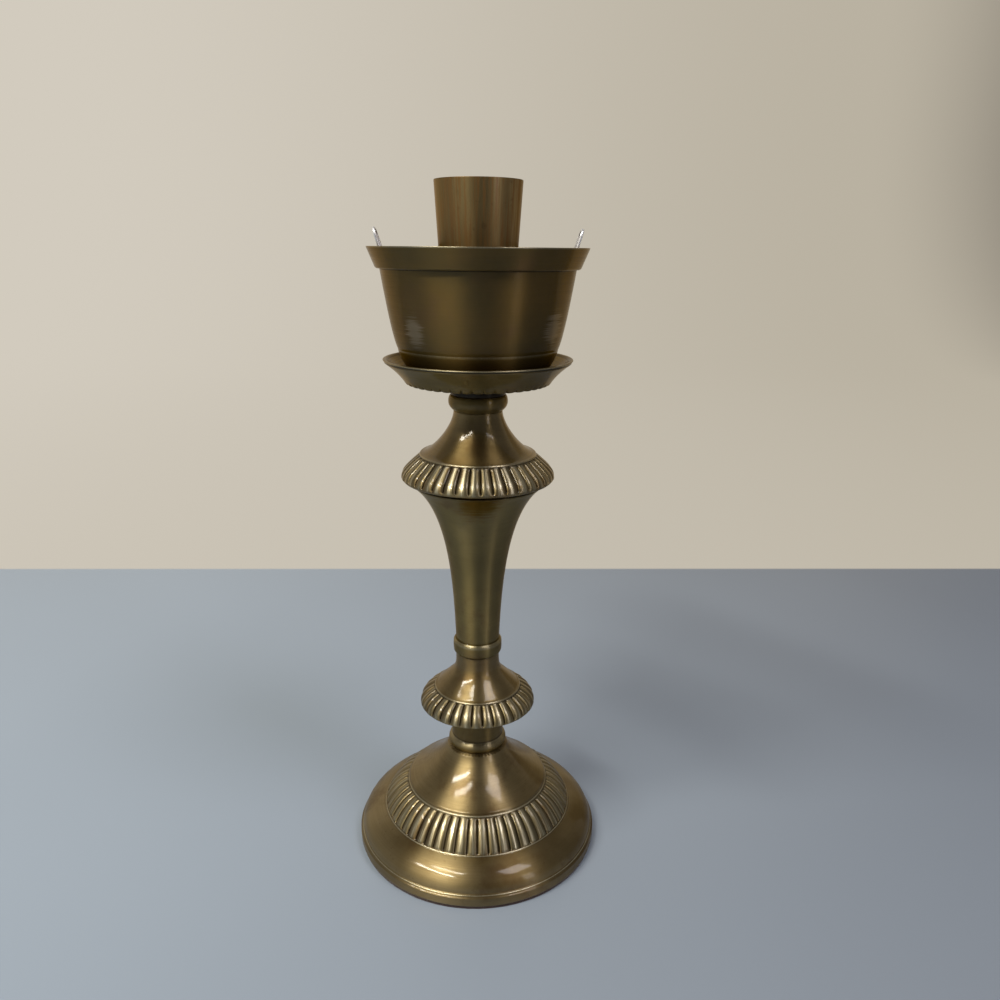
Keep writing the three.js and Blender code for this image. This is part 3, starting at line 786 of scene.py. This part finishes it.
def base():
    seat = seat_of("base")
    shoulder = (BASE_RADIUS - BASE_SHOULDER_INSET, BASE_SIDE + BASE_SHOULDER_RISE)
    foot = (shoulder[0] - OVOLO_WIDTH, shoulder[1] + OVOLO_HEIGHT)
    band_top = (foot[0] - BASE_BAND_WIDTH, foot[1] + BASE_BAND_HEIGHT)
    bell_foot = (band_top[0] - BASE_BELL_STEP, band_top[1] + BASE_FILLET + BASE_BELL_STEP)
    neck = (BASE_NECK_RADIUS, bell_foot[1] + BASE_BELL_HEIGHT)
    roof = neck[1] - BASE_ROOF
    rim_inside = BASE_RADIUS - BASE_RIM_WALL
    outline = Outline()
    outline.to(BASE_RADIUS - 0.25, 0, rounding=0.1)
    outline.follow(upright(BASE_RADIUS, 0.3, BASE_SIDE - 0.45, steps=4), grime=0.33)
    outline.to(BASE_RADIUS, BASE_SIDE - 0.1, rounding=0.35, grime=0.33)
    outline.to(shoulder[0] + 0.22, shoulder[1] - 0.12, grime=0.2)
    # The bead lines get a painted highlight as well as wear.
    outline.bead(shoulder[0] - 0.05, shoulder[1] + 0.05, bulge=0.09, wear=1.0)
    outline.follow(flow(shoulder, foot, OVOLO_CURVE)[2:-1])
    outline.to(foot[0] + 0.08, foot[1] - 0.12, grime=0.3)
    outline.bead(foot[0] - 0.22, foot[1] + 0.22, bulge=0.11, wear=1.0)
    outline.to(foot[0] - 0.34, foot[1] + 0.22, grime=0.5)
    run = flow(foot, band_top, BASE_BAND_CURVE, steps=24)
    outline.band(run[1:-1], BASE_RIB_DEPTH)
    outline.to(band_top[0] + 0.12, band_top[1] - 0.12, grime=0.5)
    outline.to(band_top[0], band_top[1] + 0.1)
    outline.bead(band_top[0] - 0.3, band_top[1] + 0.55, bulge=0.12, wear=1.0)
    outline.to(bell_foot[0] - 0.05, bell_foot[1] - 0.45, grime=0.5)
    outline.follow(flow(bell_foot, neck, BASE_BELL_CURVE, steps=36))
    outline.to(BORE, neck[1]).to(BORE, roof - BOSS_DROP, rounding=0.3)
    outline.to(BOSS_RADIUS, roof - BOSS_DROP, rounding=0.4)
    outline.to(BOSS_RADIUS, roof, rounding=0.5, grime=0.4)
    outline.to(BOSS_ROOT_RADIUS, roof, rounding=1.0)
    outline.to(band_top[0] - BASE_WALL, band_top[1] - BASE_WALL, rounding=3.0)
    outline.to(foot[0] - BASE_WALL, foot[1] - BASE_WALL, rounding=3.0)
    outline.to(rim_inside, BASE_SIDE, rounding=1.0).to(rim_inside, 0, rounding=0.1)
    piece = turned("base_turning", outline, seat, ribs=BASE_RIBS, seed=3, rubbed_and_highlit=0.6)
    return dress(piece, "stand", BRASS, "base")


def collar():
    seat, height = seat_of("base_collar"), height_of("base_collar")
    outline = Outline()
    outline.to(COLLAR_RADIUS - COLLAR_BULGE - 0.4, 0, grime=0.8)
    ring_middle = COLLAR_RADIUS - COLLAR_THICKNESS
    # The ring's upper side is brightened as a painted highlight.
    outline.torus(ring_middle, COLLAR_HEIGHT / 2, COLLAR_THICKNESS, low=-72, high=58, wear=1.0)
    outline.to(NECK_RADIUS - 0.05, COLLAR_HEIGHT, grime=0.6)
    # The neck under the lower knop is darkened as painted shade.
    neck = upright(NECK_RADIUS, COLLAR_HEIGHT, height, steps=20)
    outline.follow(neck[1:], grime=0.25)
    outline.to(BORE, height).to(BORE, 0)
    piece = turned("collar_turning", outline, seat)
    return dress(piece, "stand", SAUCER_BRASS_SHADED, "base_collar")


def knop(name, node, size, seed):
    """A knop with a ribbed quarter round below, a lip with a painted highlight and a smooth bell
    above.
    """
    seat = seat_of(node)
    edge = (size["radius"] - size["edge_inset"], 0)
    belly = (size["radius"], size["edge_height"])
    seam = (size["radius"] - size["band_width"], belly[1] + size["band_height"])
    bell_foot = (seam[0] - size["lip"], seam[1] + size["lip"])
    height = bell_foot[1] + size["bell_height"]
    outline = Outline()
    outline.to(edge[0] - 0.15, 0, grime=0.3)
    outline.to(edge[0], 0.1, grime=0.2)
    outline.band(flow(belly, seam, size["band_curve"], steps=26)[:-1], size["rib_depth"], fade=3)
    outline.to(seam[0] - 0.12, seam[1] + 0.02, grime=0.6)
    outline.to(seam[0] - 0.08, seam[1] + 0.15)
    outline.bead(bell_foot[0] + 0.15, bell_foot[1] - 0.05, bulge=0.1, wear=0.8)
    neck = (size["neck_radius"], height)
    outline.follow(flow(bell_foot, neck, size["bell_curve"], steps=40)[1:])
    outline.to(BORE, height).to(BORE, size["recess_depth"])
    outline.to(size["recess_radius"], size["recess_depth"], rounding=0.3, grime=0.6)
    outline.to(size["recess_radius"], 0, rounding=0.2, grime=0.4)
    piece = turned(name, outline, seat, ribs=size["ribs"], seed=seed)
    return dress(piece, "stand", BRASS, node)


def stem_ring():
    seat = seat_of("stem_ring")
    inner = STEM_RING_RADIUS - STEM_RING_INSET
    outline = Outline()
    outline.to(inner, 0, grime=0.7).to(STEM_RING_RADIUS - 0.15, 0.55, rounding=0.3)
    outline.to(STEM_RING_RADIUS, STEM_RING_HEIGHT / 2, rounding=0.8)
    outline.to(STEM_RING_RADIUS - 0.1, STEM_RING_HEIGHT - 0.6, rounding=0.25, wear=0.5)
    outline.to(inner + 0.1, STEM_RING_HEIGHT - 0.15, rounding=0.15, wear=0.6)
    outline.to(inner, STEM_RING_HEIGHT, grime=0.4)
    outline.to(BORE, STEM_RING_HEIGHT).to(BORE, 0)
    piece = turned("stem_ring_turning", outline, seat)
    return dress(piece, "stand", STEM_BRASS_SHADED, "stem_ring")


def stem():
    seat = seat_of("stem")
    top = (STEM_TOP_RADIUS, STEM_HEIGHT - STEM_TOP_EDGE)
    spigot = STEM_TOP_RADIUS - STEM_SPIGOT_INSET
    outline = Outline()
    outline.to(STEM_FOOT_RADIUS - 0.1, 0, grime=0.5)
    outline.follow(flow((STEM_FOOT_RADIUS, 0.15), top, STEM_CURVE, steps=56))
    outline.to(STEM_TOP_RADIUS, STEM_HEIGHT, rounding=0.15, grime=0.5)
    outline.to(spigot, STEM_HEIGHT).to(spigot, STEM_HEIGHT + STEM_SPIGOT_HEIGHT)
    outline.to(BORE, STEM_HEIGHT + STEM_SPIGOT_HEIGHT).to(BORE, 0)
    piece = turned("stem_turning", outline, seat)
    return dress(piece, "stand", STEM_BRASS_SHADED, "stem")


def neck_bead():
    seat = seat_of("neck_bead")
    belly = (BEAD_RADIUS, BEAD_LOWER)
    top = (BEAD_TOP_RADIUS, BEAD_LOWER + BEAD_UPPER)
    outline = Outline()
    # The bead's foot and its top under the saucer are darkened as painted shade.
    outline.to(BEAD_FOOT_RADIUS - 0.05, 0, grime=0.9)
    outline.follow(flow((BEAD_FOOT_RADIUS, 0.08), belly, BEAD_LOWER_CURVE, steps=12)[:-1])
    outline.follow(flow(belly, top, BEAD_UPPER_CURVE, steps=12)[:-1])
    outline.to(top[0], top[1], grime=1.0)
    outline.to(BORE, top[1]).to(BORE, 0)
    piece = turned("bead_turning", outline, seat)
    return dress(piece, "stand", SAUCER_BRASS_SHADED, "neck_bead")


def saucer():
    seat = seat_of("saucer")
    knee = (SAUCER_RIM_RADIUS - SAUCER_FLANGE_WIDTH, SAUCER_BOSS_HEIGHT + SAUCER_KNEE_HEIGHT)
    rim = (SAUCER_RIM_RADIUS, knee[1] + SAUCER_FLANGE_HEIGHT)
    foot = knee[0] - SAUCER_FOOT_WIDTH
    floor = SAUCER_BOSS_HEIGHT + SAUCER_FLOOR
    floor_edge = foot + SAUCER_FOOT_WIDTH * SAUCER_FLOOR / SAUCER_KNEE_HEIGHT
    outline = Outline()
    # The saucer's boss, under its dish, is darkened as painted shade.
    outline.follow(upright(SAUCER_BOSS_RADIUS, 0, SAUCER_BOSS_HEIGHT, steps=6), grime=0.85)
    outline.to(foot - 1.5, SAUCER_BOSS_HEIGHT)
    outline.to(foot - 0.5, SAUCER_BOSS_HEIGHT, ribs=SAUCER_NICK_DEPTH)
    outline.to(foot - 0.2, SAUCER_BOSS_HEIGHT + 0.12, ribs=SAUCER_NICK_DEPTH)
    face_foot = (foot + 0.1, SAUCER_BOSS_HEIGHT + 0.4)
    face_top = (rim[0] - 0.5, rim[1] - 1.0)
    for step, (radius, height) in enumerate(flow(face_foot, face_top, SAUCER_CURVE)):
        fade = max(0.0, 1 - step / SAUCER_NICK_FADE)
        outline.to(radius, height, ribs=SAUCER_NICK_DEPTH * fade)
    outline.to(rim[0] - 0.45, rim[1] - 0.85, grime=0.2)
    outline.to(rim[0] - 0.38, rim[1] - 0.6, grime=1.0)
    outline.to(rim[0] - 0.2, rim[1] - 0.45, grime=0.6)
    outline.to(rim[0], rim[1] - 0.15, rounding=0.08, wear=0.6)
    outline.to(rim[0] - 0.2, rim[1], rounding=0.1, wear=0.4)
    outline.to(rim[0] - SAUCER_WALL, rim[1], rounding=0.25, grime=0.4)
    outline.to(rim[0] - SAUCER_WALL - 0.5, rim[1] - 0.5, grime=0.5)
    outline.to(knee[0] - SAUCER_WALL / 2 + 0.4, knee[1] + SAUCER_WALL / 2 + 0.4, grime=0.5)
    outline.to(knee[0] - SAUCER_WALL / 2, knee[1] + SAUCER_WALL / 2, rounding=0.3, grime=0.5)
    outline.to(floor_edge - SAUCER_WALL, floor, rounding=0.8, grime=0.5)
    outline.to(BORE, floor).to(BORE, 0)
    piece = turned(
        "saucer_turning",
        outline,
        seat,
        ribs=SAUCER_NICKS,
        seed=11,
        settled_grime_and_shade=(0.5, 1.0),
        rubbed_and_highlit=0.02,
        rib_brass=SAUCER_BRASS_SHADED,
    )
    return dress(piece, "stand", SAUCER_BRASS_SHADED, "saucer")


def cup():
    seat = seat_of("cup")
    foot = (CUP_FOOT_RADIUS, 0)
    waist = (CUP_WAIST_RADIUS, CUP_WAIST_HEIGHT)
    mouth = (CUP_MOUTH_RADIUS, CUP_WAIST_HEIGHT + CUP_WALL_HEIGHT)
    lip = CUP_MOUTH_RADIUS + CUP_LEDGE_WIDTH
    rim = (lip + CUP_LIP_FLARE, mouth[1] + CUP_LIP_HEIGHT)
    ledge = mouth[1] + CUP_FLOOR
    inside_mouth = (CUP_MOUTH_RADIUS - CUP_WALL, ledge)
    inside_waist = (CUP_WAIST_RADIUS - CUP_WALL, CUP_WAIST_HEIGHT)
    inside_foot = (CUP_FOOT_RADIUS - CUP_WALL / 2, CUP_FLOOR)
    outline = Outline()
    outline.follow(flow(foot, waist, CUP_FOOT_CURVE, steps=20)[:-2], grime=0.4)
    outline.to(waist[0] - 0.08, waist[1] - 0.25, wear=0.2)
    outline.follow(flow(waist, mouth, CUP_WALL_CURVE)[:-2])
    outline.to(mouth[0] - 0.05, mouth[1] - 0.3)
    outline.to(mouth[0], mouth[1], rounding=0.1, grime=0.9)
    outline.to(lip - 0.4, mouth[1] + 0.02, rounding=0.1)
    outline.to(lip, mouth[1] + 0.35, rounding=0.15)
    outline.to(rim[0] - 0.03, rim[1] - 0.12, rounding=0.08, wear=0.5)
    outline.to(rim[0] - 0.12, rim[1], rounding=0.08, wear=1.0)
    outline.to(rim[0] - CUP_WALL, rim[1], rounding=0.2, wear=0.5)
    outline.to(lip - CUP_WALL / 2, ledge, rounding=0.3, grime=0.5)
    outline.to(inside_mouth[0], ledge, rounding=0.25)
    outline.follow(flow(inside_mouth, inside_waist, CUP_INSIDE_WALL_CURVE)[1:-1])
    outline.follow(flow(inside_waist, inside_foot, CUP_INSIDE_FOOT_CURVE, steps=20))
    outline.to(BORE, CUP_FLOOR).to(BORE, 0)
    piece = turned("cup_turning", outline, seat)
    return dress(piece, "stand", CUP_BRASS_SHADED, "cup")


def candle_tube():
    seat, height = seat_of("candle_tube"), height_of("candle_tube")
    outline = Outline()
    outline.to(TUBE_FOOT_RADIUS - 0.2, 0, rounding=0.1).to(TUBE_FOOT_RADIUS, 0.3, rounding=0.2)
    foot, mouth = (TUBE_FOOT_RADIUS, 0.35), (TUBE_MOUTH_RADIUS, height - 0.45)
    outline.follow(flow(foot, mouth, STRAIGHT, steps=24))
    outline.to(TUBE_MOUTH_RADIUS, height, rounding=0.1, grime=0.5)
    outline.to(TUBE_MOUTH_RADIUS - TUBE_WALL, height, rounding=0.3, grime=0.35)
    outline.to(TUBE_FOOT_RADIUS - TUBE_WALL, TUBE_FLOOR, rounding=0.6, grime=0.6)
    outline.to(TUBE_HOLE_RADIUS, TUBE_FLOOR, rounding=0.2).to(TUBE_HOLE_RADIUS, 0, rounding=0.2)
    piece = turned("tube_turning", outline, seat)
    return dress(piece, "tube", TUBE_BRASS, "candle_tube")


# Tie rod, nuts and washers
def washer(name, node, finish):
    low, high = (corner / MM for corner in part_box(node))
    thickness = high.z - low.z
    outline = Outline()
    outline.to(high.x, 0, rounding=0.2).to(high.x, thickness, rounding=0.3)
    outline.to(BORE, thickness, rounding=0.15).to(BORE, 0, rounding=0.15)
    return dress(turned(name, outline, low.z), "stand", finish, node)


def nut(name, node):
    """A hexagonal nut: a turned chamfer cuts its corners off in arcs at both faces."""
    seat, height = seat_of(node), height_of(node)
    flat = NUT_ACROSS / 2
    angles = [TURN * step / PLAIN_STEPS for step in range(PLAIN_STEPS)]
    reach = []
    for angle in angles:
        off_flat = abs((angle + TURN / 12) % (TURN / 6) - TURN / 12)
        reach.append(min(flat / math.cos(TURN / 12 - off_flat), flat * NUT_CORNER))
    rings = []

    def ring(radii, heights):
        places = zip(radii, angles, heights)
        rings.append([(r * math.cos(a), r * math.sin(a), seat + z) for r, a, z in places])

    def level(value):
        return [value] * PLAIN_STEPS

    bore, mouth = level(BORE), level(BORE + NUT_BORE_CHAMFER)
    face = level(flat - NUT_FACE_INSET)
    drop = [max(0.0, r - flat + NUT_FACE_INSET) * NUT_CHAMFER for r in reach]
    ring(mouth, level(0.0))
    ring(face, level(0.0))
    ring(reach, drop)
    ring(reach, [d + NUT_EDGE for d in drop])
    ring(reach, level(height / 2))
    ring(reach, [height - d - NUT_EDGE for d in drop])
    ring(reach, [height - d for d in drop])
    ring(face, level(height))
    ring(mouth, level(height))
    ring(bore, level(height - NUT_BORE_CHAMFER))
    ring(bore, level(NUT_BORE_CHAMFER))
    piece = skin(name, rings)
    return dress(piece, "stand", STEEL, node)


def tie_rod():
    """A plain rod, cut with a thread over its two ends and chamfered there."""
    seat, length = seat_of("tie_rod"), height_of("tie_rod")
    step = THREAD_PITCH / STEPS_PER_THREAD
    count = int(THREAD_LENGTH / step)
    levels = [step * index for index in range(count + 1)]
    levels += [length - level for level in reversed(levels)]
    rings = [[(0, 0, seat)]]
    grime = [0.0]
    for level in levels:
        from_end = min(level, length - level)
        fade = max(0.0, min(1.0, (THREAD_LENGTH - from_end) / THREAD_PITCH))
        chamfer = ROD_RADIUS - ROD_CHAMFER + from_end
        ring = []
        for index in range(ROD_STEPS):
            share = index / ROD_STEPS
            wave = 0.5 - 0.5 * math.cos(TURN * (level / THREAD_PITCH - share))
            radius = min(ROD_RADIUS - THREAD_DEPTH * wave * fade, chamfer)
            angle = TURN * share
            ring.append((radius * math.cos(angle), radius * math.sin(angle), seat + level))
            grime.append(THREAD_GRIME * wave * fade)
        rings.append(ring)
    rings.append([(0, 0, seat + length)])
    grime.append(0.0)
    piece = skin("tie_rod_thread", rings, grime, closed=False)
    return dress(piece, "stand", STEEL, "tie_rod")


def lock_washer():
    """A split spring washer, its two cut ends square."""
    low, high = (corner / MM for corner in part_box("base_lock_washer"))
    outer = max(high.x, -low.x)
    edge = LOCK_WASHER_EDGE
    corners = [(BORE, low.z), (outer - edge, low.z), (outer, low.z + edge)]
    corners += [(outer, high.z - edge), (outer - edge, high.z), (BORE, high.z)]
    sections = []
    for step in range(LOCK_WASHER_STEPS + 1):
        share = step / LOCK_WASHER_STEPS
        angle = LOCK_WASHER_GAP / 2 + (TURN - LOCK_WASHER_GAP) * share
        section = [(r * math.cos(angle), r * math.sin(angle), z) for r, z in corners]
        sections.append(section[::-1])
    first, last = (
        tuple(sum(values) / len(corners) for values in zip(*section))
        for section in (sections[0], sections[-1])
    )
    piece = skin("lock_washer_split", [[first], *sections, [last]], closed=False)
    return dress(piece, "stand", STEEL, "base_lock_washer")


# The wire spring
def wire(name, points, body, node):
    curve = bpy.data.curves.new(name, "CURVE")
    curve.dimensions = "3D"
    curve.bevel_depth = WIRE_RADIUS * MM
    curve.bevel_resolution = WIRE_ROUNDNESS
    curve.use_fill_caps = True
    spline = curve.splines.new("POLY")
    spline.points.add(len(points) - 1)
    for point, place in zip(spline.points, points):
        point.co = (*(Vector(place) * MM), 1)
    return dress(placed(name, curve), body, SPRING, node)


def spring_runs():
    for node in ("spring_run_front", "spring_run_back"):
        low, high = (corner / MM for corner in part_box(node))
        middle = (low + high) / 2
        ends = [(low.x, middle.y, middle.z), (high.x, middle.y, middle.z)]
        wire(node + "_wire", ends, "stand", node)


def spring_arm(side, body, node):
    """A hairpin that leans out from the cup's floor and ends in a round tip above the rim."""
    foot = seat_of("spring_run_front") + WIRE_RADIUS
    cup_seat = seat_of("cup")
    half = ARM_TIP_WIDTH / 2
    ledge = CUP_WAIST_HEIGHT + CUP_WALL_HEIGHT + CUP_FLOOR
    ledge_rise = cup_seat + ledge - foot
    ledge_reach = CUP_MOUTH_RADIUS - CUP_WALL - ARM_CLEARANCE - WIRE_RADIUS
    lean = math.atan2(math.sqrt(ledge_reach**2 - half**2) - ARM_FOOT_RADIUS, ledge_rise)
    length = (top_of(node) - WIRE_RADIUS - foot) / math.cos(lean)
    along = [(0, -WIRE_SPREAD), (length - half, -half)]
    for step in range(1, BEND_STEPS):
        angle = math.pi * step / BEND_STEPS
        along.append((length - half + half * math.sin(angle), -half * math.cos(angle)))
    along += [(length - half, half), (0, WIRE_SPREAD)]
    points = [
        (side * (ARM_FOOT_RADIUS + far * math.sin(lean)), across, foot + far * math.cos(lean))
        for far, across in along
    ]
    wire(node + "_wire", points, body, node)


felt_pad()
base()
collar()
knop("lower_knop_turning", "lower_knop", LOWER_KNOP, seed=11)
stem_ring()
stem()
knop("upper_knop_turning", "upper_knop", UPPER_KNOP, seed=23)
neck_bead()
saucer()
cup()
candle_tube()
washer("base_washer_plate", "base_washer", STEEL)
washer("clamp_washer_plate", "clamp_washer", WASHER_BRASS)
nut("base_nut_hex", "base_nut")
nut("top_nut_hex", "top_nut")
tie_rod()
lock_washer()
spring_runs()
spring_arm(-1, "left_arm", "spring_arm_left")
spring_arm(1, "right_arm", "spring_arm_right")


# The table, and the wall behind it, on one sheet that curves up far behind the object
SHEET_FRONT = -1.6
SHEET_BACK = 1.1
SHEET_HALF_WIDTH = 2.2
SWEEP_RADIUS = 0.5
SWEEP_HEIGHT = 1.6
SWEEP_STEPS = 16
WALL_FOOT = 0.246
WALL_FOOT_BLUR = 0.003
TABLE_LIT_LEFT = colour(0.395, 0.472, 0.57)
TABLE_SHADED_RIGHT = colour(0.218, 0.252, 0.312)
WALL_LIT_LEFT = colour(0.645, 0.597, 0.515)
WALL_SHADED_RIGHT = colour(0.485, 0.44, 0.356)
WALL_SHADED_CORNER = colour(0.16, 0.14, 0.115)


def backdrop():
    """A sheet that is the table up to the wall's foot and has the wall's tone beyond it.

    The wall shows to the camera and in reflections. Diffuse light meets only the table."""
    profile = [(SHEET_FRONT, 0.0)]
    for step in range(SWEEP_STEPS + 1):
        angle = math.pi / 2 * step / SWEEP_STEPS
        back = SHEET_BACK + SWEEP_RADIUS * math.sin(angle)
        profile.append((back, SWEEP_RADIUS * (1 - math.cos(angle))))
    profile.append((SHEET_BACK + SWEEP_RADIUS, SWEEP_HEIGHT))
    sides = (-SHEET_HALF_WIDTH, SHEET_HALF_WIDTH)
    vertices = [(x, y, z) for y, z in profile for x in sides]
    faces = [(2 * i, 2 * i + 1, 2 * i + 3, 2 * i + 2) for i in range(len(profile) - 1)]
    mesh = bpy.data.meshes.new("backdrop")
    mesh.from_pydata(vertices, [], faces)
    mesh.shade_smooth()
    floor = placed("backdrop", mesh)
    made, nodes = material("backdrop")
    across, deep, _ = nodes.parts(nodes.place())
    mottle = nodes.noise(nodes.place(), scale=3.0, detail=2.0)
    uneven = nodes.ramp(mottle, 0.3, 0.7, -0.05, 0.05)
    # The table is lighter on the left and darker on the right: painted light and shade.
    shade_to_right = nodes.math("ADD", nodes.ramp(across, -0.3, 0.3), uneven)
    tone = nodes.mix(shade_to_right, TABLE_LIT_LEFT, TABLE_SHADED_RIGHT)
    rough = nodes.ramp(mottle, 0.3, 0.7, 0.3, 0.34)
    table_shader = nodes.node("BsdfPrincipled", {"Base Color": tone, "Roughness": rough})
    # The wall's glow is lighter on the left, darker on the right and dark in the far right corner:
    # painted light and shade.
    wall_tone = nodes.mix(nodes.ramp(across, -0.9, 0.9), WALL_LIT_LEFT, WALL_SHADED_RIGHT)
    wall_tone = nodes.mix(nodes.ramp(across, 0.8, 1.4), wall_tone, WALL_SHADED_CORNER)
    wall_shader = nodes.node("Emission", {"Color": wall_tone, "Strength": 1.0})
    seen = nodes.node("LightPath", output="Is Camera Ray")
    for ray in ("Is Glossy Ray", "Is Transmission Ray"):
        seen = nodes.math("MAXIMUM", seen, nodes.node("LightPath", output=ray))
    beyond = nodes.ramp(deep, WALL_FOOT, WALL_FOOT + WALL_FOOT_BLUR)
    on_wall = nodes.math("MULTIPLY", seen, beyond)
    shader = nodes.node("MixShader", {0: on_wall, 1: table_shader, 2: wall_shader})
    nodes.close("Material", shader)
    mesh.materials.append(made)


# Lamps and surroundings
LAMP_AIM = Vector((0, 0, 0.1))
WARM = (1.0, 0.95, 0.84)
COOL = (1.0, 0.95, 0.98)
FRONT_TONE = colour(0.08, 0.075, 0.07)
LEFT_TONE = colour(0.38, 0.36, 0.32)
RIGHT_TONE = colour(0.20, 0.19, 0.175)
BACK_TONE = colour(0.56, 0.52, 0.45)
CEILING_TONE = colour(0.20, 0.19, 0.175)


def lamp(name, tone, azimuth, elevation, distance, size, power):
    """An area lamp that looks at the middle of the object. Azimuth 0 is the camera's side."""
    around, up = math.radians(azimuth), math.radians(elevation)
    away = Vector(
        (math.sin(around) * math.cos(up), -math.cos(around) * math.cos(up), math.sin(up))
    )
    light = bpy.data.lights.new(name, "AREA")
    light.shape = "RECTANGLE"
    light.size, light.size_y = size
    light.energy = power
    light.color = tone
    facing = away.to_track_quat("Z", "Y").to_matrix().to_4x4()
    holder = placed(name, light)
    holder.matrix_world = Matrix.Translation(LAMP_AIM + away * distance) @ facing


def world():
    """Soft surroundings: bright behind the object, dimmer at its sides and above it, and dark
    behind the camera."""
    surroundings = bpy.data.worlds.new("studio")
    bpy.context.scene.world = surroundings
    surroundings.use_nodes = True
    nodes = Nodes(surroundings.node_tree)
    across, ahead, up = nodes.parts(nodes.node("TexCoord"))
    side = nodes.mix(nodes.ramp(across, -0.6, 0.6), LEFT_TONE, RIGHT_TONE)
    tone = nodes.mix(nodes.ramp(ahead, -0.85, -0.1), FRONT_TONE, side)
    tone = nodes.mix(nodes.ramp(ahead, 0.2, 0.8), tone, BACK_TONE)
    tone = nodes.mix(nodes.ramp(up, 0.25, 0.85), tone, CEILING_TONE)
    nodes.close("World", nodes.node("Background", {0: tone, 1: 1.0}))


backdrop()
lamp("tube_lamp_far", WARM, azimuth=-50, elevation=49, distance=1.6, size=(0.95, 0.11), power=15)
lamp("tube_lamp_near", WARM, azimuth=-43, elevation=62, distance=1.45, size=(0.62, 0.1), power=5)
lamp("window", COOL, azimuth=51, elevation=56, distance=1.5, size=(0.5, 0.5), power=5.6)
lamp("low_right", COOL, azimuth=47, elevation=14, distance=1.5, size=(0.25, 0.7), power=1.4)
world()

# The camera stands where the photograph was taken from. Lengths in millimetres, turns in degrees.
CAMERA_DISTANCE = 252.04
CAMERA_HEIGHT = 199.17
CAMERA_PITCH = 16.959
CAMERA_YAW = 1.604
CAMERA_ROLL = 0.582
CAMERA_LENS = 29.70
CAMERA_FRAME = 36
CAMERA_NEAREST = 10


def camera():
    data = bpy.data.cameras.new("camera")
    data.sensor_width = CAMERA_FRAME
    data.lens = CAMERA_LENS
    data.clip_start = CAMERA_NEAREST * MM
    holder = placed("camera", data)
    holder.matrix_world = (
        Matrix.Translation((0, -CAMERA_DISTANCE * MM, CAMERA_HEIGHT * MM))
        @ Matrix.Rotation(-math.radians(CAMERA_YAW), 4, "Z")
        @ Matrix.Rotation(math.pi / 2 - math.radians(CAMERA_PITCH), 4, "X")
        @ Matrix.Rotation(math.radians(CAMERA_ROLL), 4, "Z")
    )
    bpy.context.scene.camera = holder


camera()
bpy.context.scene.view_settings.view_transform = "Standard"
